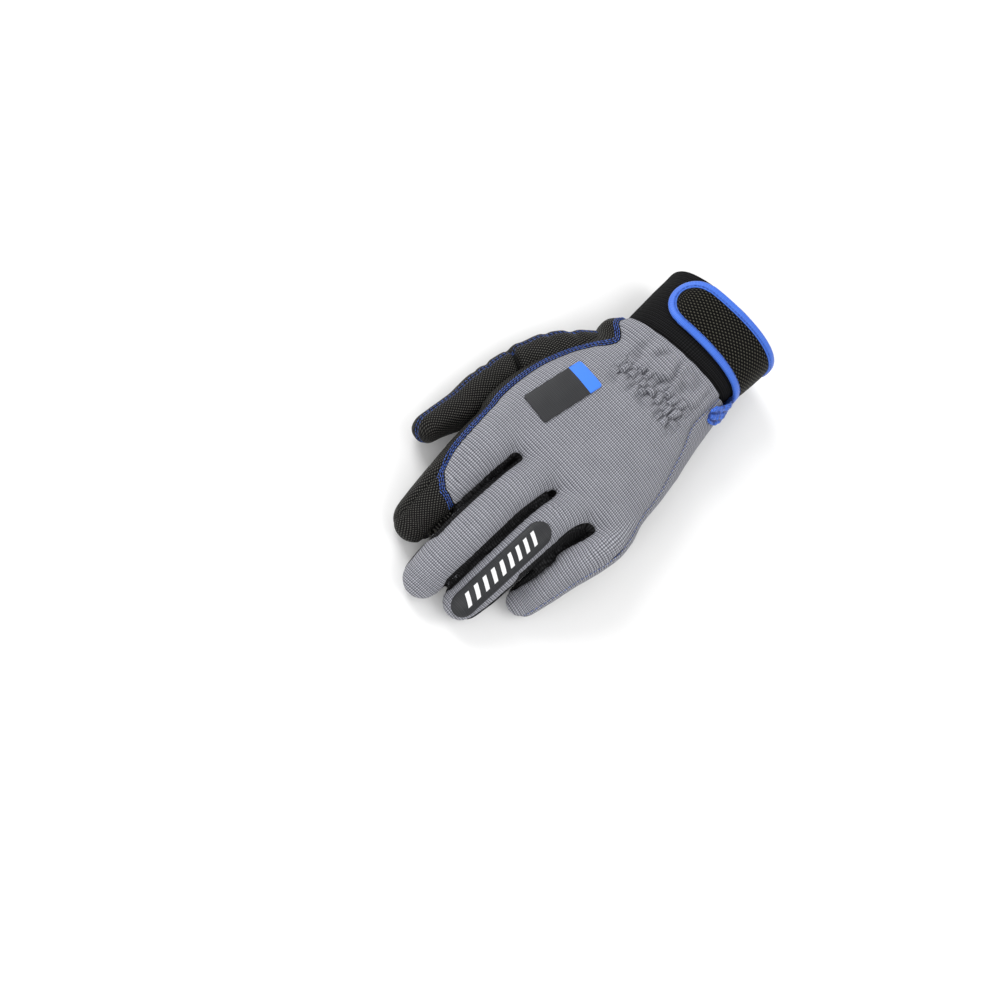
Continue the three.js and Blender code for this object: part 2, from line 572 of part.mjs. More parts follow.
// A strip on the cuff: its edges lie inset inside the strap's outline, from low to high over the cuff.
function strapStrip(inset, low, high, pastRoot = 0) {
  const endRadius = STRAP_WIDTH_END / 2 - inset;
  const runs = [];
  for (let i = 0; i <= STRAP_STEPS; i++) {
    const share = i / STRAP_STEPS;
    const eased = share < 0.3 ? (1 - Math.cos((share / 0.3) * (Math.PI / 2))) * endRadius : endRadius + ((share - 0.3) / 0.7) * (strapLength - inset - endRadius);
    runs.push(inset + Math.max(eased, 0.02));
  }
  const sections = runs.map((run, i) => {
    const degrees = i === STRAP_STEPS ? STRAP_ROOT_ANGLE + pastRoot : degreesAt(Math.min(run, strapLength));
    const into = Math.min(run - inset, endRadius);
    const round = Math.sqrt(Math.max(endRadius ** 2 - (endRadius - into) ** 2, 0.01)) / endRadius;
    const share = run / strapLength;
    const fullWidth = STRAP_WIDTH_END + (STRAP_WIDTH_ROOT - STRAP_WIDTH_END) * share - 2 * inset;
    const lowY = cuffEndY + STRAP_INSET + inset;
    const middleY = lowY + fullWidth / 2;
    const half = (fullWidth / 2) * round;
    const corner = (y, rise) => {
      const station = cuffStation((y - cuffEndY) / CUFF_LENGTH, -rise);
      return place(station, rim(station, degrees));
    };
    const lifts = [-1, 0, 1];
    return [
      ...lifts.map((t) => corner(middleY + half * t, STRAP_RISE + low)),
      ...lifts.map((t) => corner(middleY - half * t, STRAP_RISE + high)),
    ];
  });
  return solid(loft(sections));
}
const strapFace = strapStrip(BINDING_WIDTH, 0, STRAP_THICKNESS);
const strapBinding = strapStrip(0, -0.2, BINDING_THICKNESS - 0.2).subtract(
  strapStrip(BINDING_WIDTH - SEAT_GAP, -2 * BINDING_THICKNESS, 2 * BINDING_THICKNESS, 3),
);

// Patches: a thin layer of the surface under an outline
function layerOver(stationsAt, outline) {
  const over = sector(stationsAt(SEAT_GAP + PATCH_THICKNESS), angle(15), angle(165), PATCH_STEPS);
  const under = tube(stationsAt(SEAT_GAP), PALM_SIDES);
  return over.subtract(under).intersect(prism(outline, 0, 2 * PALM_HEIGHT));
}
function roundedRectangle({ length, width, corner, x, y, turn }) {
  const shape = new THREE.Shape();
  const [w, l] = [width / 2, length / 2];
  shape.moveTo(-w + corner, -l);
  shape.lineTo(w - corner, -l);
  shape.absarc(w - corner, -l + corner, corner, -Math.PI / 2, 0);
  shape.lineTo(w, l - corner);
  shape.absarc(w - corner, l - corner, corner, 0, Math.PI / 2);
  shape.lineTo(-w + corner, l);
  shape.absarc(-w + corner, l - corner, corner, Math.PI / 2, Math.PI);
  shape.lineTo(-w, -l + corner);
  shape.absarc(-w + corner, -l + corner, corner, Math.PI, 1.5 * Math.PI);
  const points = shape.getPoints(4).slice(0, -1);
  return new THREE.Shape(points.map((p) => p.rotateAround(new THREE.Vector2(), -radians(turn)).add(new THREE.Vector2(x, y))));
}
const backPatch = layerOver(palmStations, roundedRectangle(BACK_PATCH));
const ringX = fingerStations(RING)[5].centre.x;
const fingerPatch = layerOver(
  (grow) => fingerStations(RING, grow),
  roundedRectangle({ ...FINGER_PATCH, corner: FINGER_PATCH.width / 2 - 0.05, x: ringX, turn: 0 }),
);

// Vent tape: a strip of binding that lies over the wrist edge and turns back on itself
function ventTape() {
  const carrier = (past, rise) => {
    const outside = THREE.MathUtils.smoothstep(past, -4.5, 0);
    const wrist = palmStation(Math.max(past, 0) / PALM_LENGTH, { grow: rise });
    const under = cuffStation(1, -rise);
    const centre = wrist.centre.clone();
    centre.y = WRIST_Y + past;
    return {
      centre,
      side: wrist.side,
      up: wrist.up,
      a: THREE.MathUtils.lerp(under.a, wrist.a, outside),
      b: THREE.MathUtils.lerp(under.b, wrist.b, outside),
    };
  };
  const at = ({ round, past }, rise) => {
    const station = carrier(past, rise);
    return place(station, rim(station, round));
  };
  const route = new THREE.CatmullRomCurve3(VENT_ROWS.map((row) => new THREE.Vector3(row.round, row.past, 0)));
  const steps = 20;
  const sections = [];
  for (let i = 0; i <= steps; i++) {
    const here = route.getPoint(i / steps);
    const ahead = route.getPoint(Math.min(i / steps + 0.01, 1));
    const behind = route.getPoint(Math.max(i / steps - 0.01, 0));
    const low = 2 * SEAT_GAP;
    const point = (p, rise) => at({ round: p.x, past: p.y }, rise);
    const base = point(here, low);
    const normal = point(here, low + 1).sub(base).normalize();
    const run = point(ahead, low).sub(point(behind, low)).normalize();
    const across = new THREE.Vector3().crossVectors(run, normal).normalize();
    const corner = (side, rise) =>
      base.clone().addScaledVector(across, (side * VENT_WIDTH) / 2).addScaledVector(normal, rise);
    sections.push([corner(-1, 0), corner(1, 0), corner(1, VENT_THICKNESS), corner(-1, VENT_THICKNESS)]);
  }
  return solid(loft(sections)).subtract(palmClear);
}

// Materials, from the photograph
const GREY_KNIT = new THREE.MeshStandardMaterial({ color: 0x8d9097, roughness: 0.9, metalness: 0 });
const PALM_SHEET = new THREE.MeshStandardMaterial({ color: 0x242424, roughness: 0.65, metalness: 0 });
const GUSSET_KNIT = new THREE.MeshStandardMaterial({ color: 0x101012, roughness: 0.95, metalness: 0 });
const CUFF_KNIT = new THREE.MeshStandardMaterial({ color: 0x0b0b0c, roughness: 0.95, metalness: 0 });
const BLUE_TAPE = new THREE.MeshStandardMaterial({ color: 0x2f5fe0, roughness: 0.6, metalness: 0 });
const PRINT_FILM = new THREE.MeshStandardMaterial({ color: 0x2b2d31, roughness: 0.55, metalness: 0 });

// The assembly
const glove = new THREE.Group();
function piece(name, form, material) {
  const mesh = form.getMesh();
  const geometry = new THREE.BufferGeometry();
  geometry.setAttribute("position", new THREE.BufferAttribute(Float32Array.from(mesh.vertProperties), 3));
  geometry.setIndex(new THREE.BufferAttribute(Uint32Array.from(mesh.triVerts), 1));
  geometry.computeVertexNormals();
  const made = new THREE.Mesh(geometry, material);
  made.name = name;
  glove.add(made);
}
piece("back_panel", backPanel, GREY_KNIT);
piece("outer_side_strip", sideStrip, GREY_KNIT);
piece("palm_panel", palmPanel, PALM_SHEET);
piece("index_tip_cap", indexTip, PALM_SHEET);
webs.forEach((i) => piece(`gusset_${FINGERS[i].name}_${FINGERS[i + 1].name}`, gussets[i], GUSSET_KNIT));
piece("thumb_back", thumbBack, PALM_SHEET);
piece("thumb_front", thumbFront, PALM_SHEET);
piece("cuff", cuff, CUFF_KNIT);
piece("strap", strapFace, PALM_SHEET);
piece("strap_binding", strapBinding, BLUE_TAPE);
piece("vent_tape", ventTape(), BLUE_TAPE);
piece("back_patch", backPatch, PRINT_FILM);
piece("finger_patch", fingerPatch, PRINT_FILM);

// Centre the box over the origin
const box = new THREE.Box3().setFromObject(glove);
const middle = box.getCenter(new THREE.Vector3());
glove.position.set(-middle.x, -middle.y, -box.min.z);
glove.updateMatrixWorld(true);

export default glove;
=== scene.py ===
# %% [markdown]
# A padded work glove, laid palm down. The real one is cut from flat panels of grey knit and black
# dotted sheet, sewn round narrow strips between the fingers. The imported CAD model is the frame: each
# panel here stands for one of its solids, in the same place.

# %% Load the frame
import math
from functools import partial
import bmesh
import bpy
import numpy as np
from mathutils import Matrix, Vector, noise
from mathutils.bvhtree import BVHTree


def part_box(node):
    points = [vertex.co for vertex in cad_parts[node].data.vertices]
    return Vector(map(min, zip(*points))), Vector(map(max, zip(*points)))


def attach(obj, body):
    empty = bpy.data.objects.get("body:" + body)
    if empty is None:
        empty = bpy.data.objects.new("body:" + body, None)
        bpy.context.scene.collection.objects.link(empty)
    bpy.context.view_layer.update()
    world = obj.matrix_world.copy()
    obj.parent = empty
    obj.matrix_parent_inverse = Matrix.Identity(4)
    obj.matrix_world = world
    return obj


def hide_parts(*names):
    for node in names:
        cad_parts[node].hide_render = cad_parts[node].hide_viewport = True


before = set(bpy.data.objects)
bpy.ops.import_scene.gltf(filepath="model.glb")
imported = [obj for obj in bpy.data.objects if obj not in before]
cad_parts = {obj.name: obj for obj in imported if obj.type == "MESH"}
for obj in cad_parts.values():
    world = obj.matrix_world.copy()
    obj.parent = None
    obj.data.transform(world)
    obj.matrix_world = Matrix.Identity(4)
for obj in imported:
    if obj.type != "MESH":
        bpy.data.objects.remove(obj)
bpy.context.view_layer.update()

# %% [markdown]
# The glove is drawn in millimetres on its own axes: +Y to the fingertips, +X to the thumb, +Z up
# through the back of the hand. These are the sizes and the section tables of the glove. They are those
# that its solids were made from, but for a slightly fuller tip of the thumb.

# %% Sizes and section tables
PALM_LENGTH, PALM_BREADTH, PALM_HEIGHT = 107, 106, 47
WRIST_Y = -32
ROUND = 2.3

# along, thumb edge, little edge, thumb seam, little seam, top, bottom, skew
PALM = np.array([
    [0.00, 0.70, 0.68, 0.655, 0.58, 1.00, 0.085, 0.12],
    [0.09, 0.80, 0.725, 0.70, 0.575, 1.02, 0.02, 0.07],
    [0.20, 0.77, 0.775, 0.55, 0.58, 0.96, -0.018, 0.0],
    [0.32, 0.82, 0.82, 0.70, 0.68, 0.99, -0.022, 0.0],
    [0.43, 0.90, 0.87, 0.81, 0.755, 1.00, 0.02, 0.0],
    [0.58, 0.98, 0.91, 0.895, 0.85, 1.00, 0.13, 0.0],
    [0.77, 1.03, 0.955, 0.94, 0.915, 0.99, 0.245, 0.03],
    [0.89, 1.02, 1.02, 0.935, 0.96, 0.96, 0.31, 0.05],
    [0.95, 0.97, 1.00, 0.90, 0.92, 0.91, 0.37, 0.06],
    [1.00, 0.88, 0.90, 0.80, 0.85, 0.80, 0.48, 0.06],
])
# along, side, drop, wide, thick, wrap
FINGERS = {
    "index": dict(root=(36, 56, 30.5), length=88, drop=24.8, width=26, thickness=25.5, rows=np.array([
        [0.00, 0.00, 0.00, 1.05, 0.92, 42], [0.18, 0.02, 0.00, 1.13, 1.00, 40],
        [0.43, 0.00, 0.05, 1.08, 0.98, 46], [0.58, -0.03, 0.20, 1.02, 0.96, 54],
        [0.67, -0.05, 0.36, 0.98, 0.95, 56], [0.86, -0.13, 0.79, 0.92, 0.88, 50],
        [1.00, -0.23, 1.00, 0.86, 0.84, 50]])),
    "middle": dict(root=(6, 56, 31), length=106, drop=25.6, width=24, thickness=25.5, rows=np.array([
        [0.00, 0.00, 0.00, 1.00, 1.00, 22], [0.15, 0.02, 0.00, 1.00, 1.00, 22],
        [0.38, 0.12, 0.00, 0.99, 0.97, 22], [0.60, 0.13, 0.18, 1.01, 0.94, 22],
        [0.78, 0.11, 0.53, 0.99, 0.90, 22], [0.90, 0.07, 0.83, 0.93, 0.84, 22],
        [1.00, 0.03, 1.00, 0.88, 0.80, 22]])),
    "ring": dict(root=(-21.5, 53, 30.5), length=101, drop=25.3, width=23, thickness=25, rows=np.array([
        [0.00, 0.00, 0.00, 1.00, 1.00, 22], [0.17, 0.09, 0.00, 1.00, 1.00, 22],
        [0.33, 0.23, 0.00, 0.97, 0.97, 22], [0.58, 0.24, 0.18, 1.00, 0.94, 22],
        [0.78, 0.25, 0.54, 0.98, 0.90, 22], [0.90, 0.28, 0.83, 0.92, 0.84, 22],
        [1.00, 0.31, 1.00, 0.86, 0.80, 22]])),
    "little": dict(root=(-43.5, 47, 28.5), length=80, drop=23.3, width=20, thickness=22.5, rows=np.array([
        [0.00, 0.00, 0.00, 0.55, 0.80, 22], [0.22, -0.08, 0.00, 0.95, 0.98, 22],
        [0.41, -0.02, 0.05, 1.02, 0.98, 22], [0.58, 0.14, 0.24, 1.02, 0.95, 22],
        [0.75, 0.26, 0.55, 0.97, 0.90, 22], [0.88, 0.34, 0.84, 0.90, 0.86, 22],
        [1.00, 0.42, 1.00, 0.84, 0.82, 22]])),
}
THUMB = dict(root=(22, -14, 18), length=116, drop=5, width=23, thickness=28, reach=44, rows=np.array([
    [0.00, 0.00, -0.10, 1.25, 1.08, 0], [0.16, 0.36, 0.10, 1.40, 1.16, 0],
    [0.28, 0.57, 0.40, 1.42, 1.12, 0], [0.35, 0.67, 0.62, 1.22, 1.02, 0],
    [0.48, 0.80, 1.00, 1.00, 0.99, 0], [0.62, 0.84, 1.00, 0.97, 0.98, 0],
    [0.75, 0.86, 1.00, 0.88, 0.92, 0], [0.88, 0.93, 0.90, 0.73, 0.82, 0],
    [1.00, 0.98, 0.70, 0.64, 0.72, 0]]))
# along, wide, top, bottom, skew
CUFF_LENGTH, CUFF_WIDTH = 41, 72
CUFF = np.array([
    [0.00, 1.00, 1.06, 0.05, 0.08], [0.35, 0.985, 1.045, 0.06, 0.08],
    [0.70, 0.965, 1.01, 0.09, 0.10], [1.00, 0.945, 0.965, 0.15, 0.12]])
# Where the grey back of the index finger ends, in millimetres across and along the hand
INDEX_SEAM = np.array([[0.85, 0.36], [0.44, 0.51], [0.33, 0.58], [0.17, 0.656], [-0.1, 0.71], [-0.85, 0.73]])

# %% [markdown]
# A smooth curve through the rows of a table gives the sections between them. The CAD model is centred
# over its origin, and the cuff's corner tells how far, so that the same numbers land in the same place.

# %% Read the tables between their rows
def sample(rows, along):
    """Every column of a table at shares along it, on a smooth curve through the rows."""
    along = np.asarray(along, float)
    last = len(rows) - 1
    i = np.clip(np.searchsorted(rows[:, 0], along, side="left") - 1, 0, last - 1)
    before, start = rows[np.maximum(i - 1, 0)], rows[i]
    end, after = rows[i + 1], rows[np.minimum(i + 2, last)]
    span = (end[:, 0] - start[:, 0])[:, None]
    t = ((along - start[:, 0])[:, None]) / span
    slope_in = (end - before) / (end[:, :1] - before[:, :1])
    slope_out = (after - start) / (after[:, :1] - start[:, :1])
    out = (start * (1 + 2 * t) * (1 - t) ** 2 + slope_in * span * t * (1 - t) ** 2
           + end * t * t * (3 - 2 * t) - slope_out * span * t * t * (1 - t))
    return out


cuff_end = WRIST_Y - CUFF_LENGTH
corner = np.array([0.5 - CUFF_WIDTH / 2, cuff_end - CUFF[0, 4] * CUFF_WIDTH / 2])
SHIFT = np.array([*(np.array(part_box("cuff")[0][:2]) * 1000 - corner), 0.0])
print("the drawing is moved by", SHIFT.round(2), "mm")


def to_row(points):
    """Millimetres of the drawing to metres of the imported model."""
    return (np.asarray(points, float) + SHIFT) / 1000


# %% [markdown]
# Each hollow form is a line of sections: a middle, the directions across and up, and half of the
# width and height. The palm's sections lean a little to the thumb side. A finger's follow its bent
# centre line and shrink into a rounded tip.

# %% Lines of sections
def bent(values, power):
    """The size of each value raised to a power, with its sign kept."""
    return np.sign(values) * np.abs(values) ** power


def run_lengths(points):
    """How far along a line each of its points is."""
    return np.concatenate([[0], np.cumsum(np.linalg.norm(np.diff(points, axis=0), axis=1))])


def palm_sections(along, grow=0.0):
    row = sample(PALM, np.maximum(along, 0))
    half = PALM_BREADTH / 2
    thumb_x, little_x = row[:, 1] * half + grow, -row[:, 2] * half - grow
    top, bottom = row[:, 5] * PALM_HEIGHT + grow, row[:, 6] * PALM_HEIGHT - grow
    middle = (thumb_x + little_x) / 2
    a = (thumb_x - little_x) / 2
    centre = np.stack([middle, WRIST_Y + along * PALM_LENGTH + row[:, 7] * middle, (top + bottom) / 2], 1)
    side = np.stack([np.ones_like(a), row[:, 7], np.zeros_like(a)], 1)
    up = np.tile([0.0, 0.0, 1.0], (len(a), 1))

    def seam(x):
        share = np.minimum(np.abs(x - middle) / (a - grow), 0.995)
        t = np.degrees(np.arccos(share ** (ROUND / 2)))
        return np.where(x - middle >= 0, t, 180 - t)

    return dict(c=centre, side=side, up=up, a=a, b=(top - bottom) / 2,
                seam_in=seam(row[:, 3] * half), seam_out=seam(-row[:, 4] * half), along=along)


def digit_sections(digit, steps=110, dome=14):
    reach = digit.get("reach", digit["width"])
    root = digit["root"]
    tip = sample(digit["rows"], [1.0])[0, 3] * digit["width"] / 2
    dome_start = 1 - tip / digit["length"]
    round_angles = np.radians(np.linspace(0, 89, dome))
    along = np.concatenate([np.linspace(0, dome_start, steps, endpoint=False),
                            dome_start + tip * np.sin(round_angles) / digit["length"]])
    scale = np.concatenate([np.ones(steps), np.cos(round_angles)])

    def centre(s):
        row = sample(digit["rows"], s)
        return np.stack([root[0] + row[:, 1] * reach, root[1] + s * digit["length"],
                         root[2] - row[:, 2] * digit["drop"]], 1)

    row = sample(digit["rows"], along)
    tangent = centre(along + 0.01) - centre(along - 0.01)
    tangent /= np.linalg.norm(tangent, axis=1)[:, None]
    side = np.cross(tangent, [0, 0, 1.0])
    side /= np.linalg.norm(side, axis=1)[:, None]
    up = np.cross(side, tangent)
    full_b = row[:, 4] * digit["thickness"] / 2
    return dict(c=centre(along), side=side, up=up, tangent=tangent, wrap=row[:, 5], full_b=full_b,
                a=row[:, 3] * digit["width"] / 2 * scale, b=full_b * scale, scale=scale)


def cuff_sections(along, rise):
    row = sample(CUFF, along)
    a = row[:, 1] * CUFF_WIDTH / 2 + rise
    top, bottom = row[:, 2] * PALM_HEIGHT, row[:, 3] * PALM_HEIGHT
    centre = np.stack([np.full_like(a, 0.5), cuff_end + along * CUFF_LENGTH, (top + bottom) / 2], 1)
    side = np.stack([np.ones_like(a), row[:, 4], np.zeros_like(a)], 1)
    up = np.tile([0.0, 0.0, 1.0], (len(a), 1))
    return dict(c=centre, side=side, up=up, a=a, b=(top - bottom) / 2 + rise, along=along)


def rim(sec, degrees):
    """Points round each section: an array of sections by angles by three."""
    t = np.radians(np.atleast_1d(degrees))
    p = sec["a"][:, None] * bent(np.cos(t), 2 / ROUND)
    q = sec["b"][:, None] * bent(np.sin(t), 2 / ROUND)
    return sec["c"][:, None] + p[..., None] * sec["side"][:, None] + q[..., None] * sec["up"][:, None]


# %% [markdown]
# Small helpers turn arrays into mesh objects. Tubes are closed at both ends, so that they can be
# melted together, and every cloth panel gets a UV map in hundredths of a millimetre, measured along
# and round the form, so that the weave keeps its scale.

# %% Mesh helpers
def smoothstep(x, low, high):
    t = np.clip((x - low) / (high - low), 0, 1)
    return t * t * (3 - 2 * t)


def bell(x, width):
    """One at nought, fading out on both sides."""
    return np.exp(-((x / width) ** 2))


def add_object(name, points_mm, faces, uv=None):
    mesh = bpy.data.meshes.new(name)
    mesh.from_pydata(to_row(points_mm).tolist(), [], [list(f) for f in faces])
    if uv is not None:
        layer = mesh.uv_layers.new(name="cloth")
        corner_of = np.empty(len(mesh.loops), int)
        mesh.loops.foreach_get("vertex_index", corner_of)
        layer.data.foreach_set("uv", (np.asarray(uv)[corner_of] * 0.01).astype(np.float32).ravel())
    mesh.polygons.foreach_set("use_smooth", [True] * len(mesh.polygons))
    mesh.validate()
    obj = bpy.data.objects.new(name, mesh)
    bpy.context.scene.collection.objects.link(obj)
    return obj


def tube_faces(rings, sides, caps=True, wrap=True):
    i, j = np.meshgrid(np.arange(rings - 1), np.arange(sides if wrap else sides - 1), indexing="ij")
    a = i * sides + j
    b = i * sides + (j + 1) % sides
    quads = np.stack([a, a + sides, b + sides, b], -1).reshape(-1, 4).tolist()
    if caps:
        quads += [list(range(sides)), [(rings - 1) * sides + j for j in reversed(range(sides))]]
    return quads


def halves(quads):
    return np.concatenate([quads[:, [0, 1, 2]], quads[:, [0, 2, 3]]])


def outward(obj):
    """Turns every face of a closed mesh to point out."""
    bm = bmesh.new()
    bm.from_mesh(obj.data)
    bmesh.ops.recalc_face_normals(bm, faces=bm.faces)
    bm.to_mesh(obj.data)
    bm.free()


def mesh_arrays(mesh):
    points = np.empty(len(mesh.vertices) * 3)
    mesh.vertices.foreach_get("co", points)
    mesh.calc_loop_triangles()
    tris = np.empty(len(mesh.loop_triangles) * 3, int)
    mesh.loop_triangles.foreach_get("vertices", tris)
    return points.reshape(-1, 3) * 1000 - SHIFT, tris.reshape(-1, 3)


def vertex_normals(points, tris):
    a, b, c = points[tris[:, 0]], points[tris[:, 1]], points[tris[:, 2]]
    face = np.cross(b - a, c - a)
    out = np.zeros_like(points)
    for k in range(3):
        np.add.at(out, tris[:, k], face)
    return out / np.maximum(np.linalg.norm(out, axis=1), 1e-12)[:, None]


def facing_out(points, tris, centre):
    """Triangles and normals that point away from a centre."""
    normal = vertex_normals(points, tris)
    if (normal * (points - centre)).sum() < 0:
        return tris[:, ::-1], -normal
    return tris, normal


def rest_on_floor(points):
    """Flattens what would sink below the floor, from just above it."""
    near, z = 0.6, points[:, 2]
    points[:, 2] = np.where(z < near, near * np.exp(np.minimum(z - near, 0) / near), z)


def relax(points, tris, rounds, weight=1.0, pull=0.5, push=-0.52):
    """Smooths a surface without shrinking it: each round pulls points to their neighbours, then back out."""
    edges = np.concatenate([tris[:, [0, 1]], tris[:, [1, 2]], tris[:, [2, 0]]])
    edges = np.concatenate([edges, edges[:, ::-1]])
    count = np.bincount(edges[:, 0], minlength=len(points))[:, None]
    weight = np.broadcast_to(np.asarray(weight, float).reshape(-1, 1), (len(points), 1))
    for _ in range(rounds):
        for strength in (pull, push):
            total = np.zeros_like(points)
            for k in range(points.shape[1]):
                total[:, k] = np.bincount(edges[:, 0], points[edges[:, 1], k], minlength=len(points))
            points = points + strength * weight * (total / np.maximum(count, 1) - points)
    return points


# %% [markdown]
# The hand of the glove is one skin from the wrist to the fingertips. Five closed tubes, the palm and
# the fingers, are melted into one by a voxel remesh, which joins what overlaps, and the joints between
# the fingers are then relaxed into the soft webs that stretched cloth makes.

# %% Melt the palm and fingers into one skin
VOXEL = 0.0008
ALL_ROUND = np.linspace(0, 360, 120, endpoint=False)
palm_along = np.concatenate([np.linspace(-0.06, 0.9, 90), np.linspace(0.905, 1.0, 24)])
palm_sec = palm_sections(palm_along)
finger_secs = {name: digit_sections(f) for name, f in FINGERS.items()}

# The soft undersides of neighbouring fingers lean on each other near the webs: mm to the thumb side and away
LEAN_TO = {"index": (0, 1.9), "middle": (1.9, 1.7), "ring": (1.7, 3.8), "little": (3.8, 0)}


def lean(ring, sec, name):
    to_thumb, to_little = LEAN_TO[name]
    y = sec["c"][:, 1]
    near_web = smoothstep(y, 54, 64) * smoothstep(117 - y, 0, 16)
    t = np.radians(ALL_ROUND)
    below = smoothstep(-np.sin(t), 0.0, 0.45)
    sides = np.clip(np.cos(t), 0, 1) ** 0.5 * to_thumb - np.clip(-np.cos(t), 0, 1) ** 0.5 * to_little
    ring[..., 0] += near_web[:, None] * (below * sides)[None]
    return ring


tube_points, tube_quads, offset = [], [], 0
for name, sec in {"palm": palm_sec, **finger_secs}.items():
    ring = rim(sec, ALL_ROUND)
    if name in LEAN_TO:
        ring = lean(ring, sec, name)
    tube_points.append(ring.reshape(-1, 3))
    tube_quads += [[v + offset for v in f] for f in tube_faces(len(ring), len(ALL_ROUND))]
    offset += ring.shape[0] * ring.shape[1]
tubes = add_object("tubes", np.concatenate(tube_points), tube_quads)
outward(tubes)
melt = tubes.modifiers.new("melt", "REMESH")
melt.mode = "VOXEL"
melt.voxel_size = VOXEL
skin_mesh = bpy.data.meshes.new_from_object(tubes.evaluated_get(bpy.context.evaluated_depsgraph_get()))
skin, skin_tris = mesh_arrays(skin_mesh)
bpy.data.objects.remove(tubes)
skin = relax(skin, skin_tris, 6)
print("skin", len(skin), "points,", len(skin_tris), "triangles")

# %% [markdown]
# To cut panels and to lay the weave, each point of the skin needs to know where it is on the hand:
# how far along, how far round, and how far from each seam. The nearest section gives all of that. The
# palm's answer fades into the nearest finger's over the knuckles, so nothing jumps.

# %% Arc length round a section
TURN = np.radians(np.linspace(-90, 270, 361))


def arc_tables(sec):
    """Arc length round every section, nought at the top, positive to the thumb side."""
    p = sec["a"][:, None] * bent(np.cos(TURN), 2 / ROUND)
    q = sec["b"][:, None] * bent(np.sin(TURN), 2 / ROUND)
    run = np.concatenate([np.zeros((len(p), 1)), np.cumsum(np.hypot(np.diff(p), np.diff(q)), 1)], 1)
    return run[:, 180:181] - run, run[:, -1]


def arc_at(table, station, degrees):
    """The arc length at an angle of a station. Angles run from -90 to 270."""
    place = np.clip((np.asarray(degrees, float) + 90), 0, 359.999)
    low = place.astype(int)
    part = place - low
    return table[station, low] * (1 - part) + table[station, low + 1] * part


# %% [markdown]
# A point's station is its nearest section. The angle and the depth there come from how large a copy
# of the section would pass through the point, so they also hold a little above and below the skin.

# %% Find the nearest section
def on_sections(points, sec, palm):
    """The station, angle, arc length and depth of points on a line of sections."""
    if palm:
        along = (points[:, 1] - WRIST_Y) / PALM_LENGTH
        for _ in range(4):
            skew = np.interp(along, sec["along"], sec["side"][:, 1])
            along = (points[:, 1] - WRIST_Y - skew * points[:, 0]) / PALM_LENGTH
        station = np.clip(np.searchsorted(sec["along"], along), 0, len(sec["along"]) - 1)
        ahead = np.zeros(len(points))
    else:
        station = np.empty(len(points), int)
        for k in range(0, len(points), 4000):
            gap = points[k:k + 4000, None] - sec["c"][None]
            station[k:k + 4000] = np.argmin((gap ** 2).sum(-1), 1)
        ahead = ((points - sec["c"][station]) * sec["tangent"][station]).sum(1)
    away = points - sec["c"][station]
    p = (away * sec["side"][station]).sum(1) / (sec["side"][station] ** 2).sum(1)
    q = (away * sec["up"][station]).sum(1)
    a, b = sec["a"][station], sec["b"][station]
    pn, qn = bent(p / a, ROUND / 2), bent(q / b, ROUND / 2)
    level = np.maximum(np.hypot(pn, qn) ** (2 / ROUND), 1e-3)
    degrees = np.degrees(np.arctan2(qn, pn))
    degrees = np.where(degrees < -90, degrees + 360, degrees)
    radius = np.hypot(p, q)
    depth = radius - radius / level
    return dict(station=station, degrees=degrees, depth=depth, p=p, q=q, ahead=ahead, level=level)


# %% [markdown]
# The seams follow the real pattern: the grey back ends high on the sides of the fingers, and it meets
# the dark strips in a thin line wherever two fingers touch.

# %% Where the seams run
# Degrees round the palm where the outer strip ends, and below the middle where the fingers' strips do
UNDER_EDGE, FINGER_EDGE = 200.0, 24
# How high the seam runs on the inner sides of the fingers: y in mm, then degrees above the middle where
# the fingers touch, and beside the wider gap next to the little finger
SEAM_LIFT = np.array([[66, 22, 22], [79, 24, 24], [86, 15, 21], [93, 6, 18], [112, 4, 13], [140, 4, 9]], float)
LITTLE_LIFT = 26.0
# The dark line between two fingers starts at this y, and is this wide to each side where they touch
GAP_START, GAP_LINE = 79, 0.7
# Millimetres to a seam from where there is none
FAR = -12.0
KNUCKLES_AT = 0.78
palm_arc, palm_girth = arc_tables(palm_sec)
finger_names = list(FINGERS)
finger_arcs = {name: arc_tables(sec) for name, sec in finger_secs.items()}


def gap_middle(y, thumb_side, little_side):
    """How far across the middle line lies of the gap between two fingers."""
    edges = []
    for name, toward in ((thumb_side, -1), (little_side, 1)):
        sec = finger_secs[name]
        full = sec["scale"] > 0.999
        edges.append(np.interp(y, sec["c"][full, 1], (sec["c"][:, 0] + toward * sec["a"])[full]))
    return (edges[0] + edges[1]) / 2


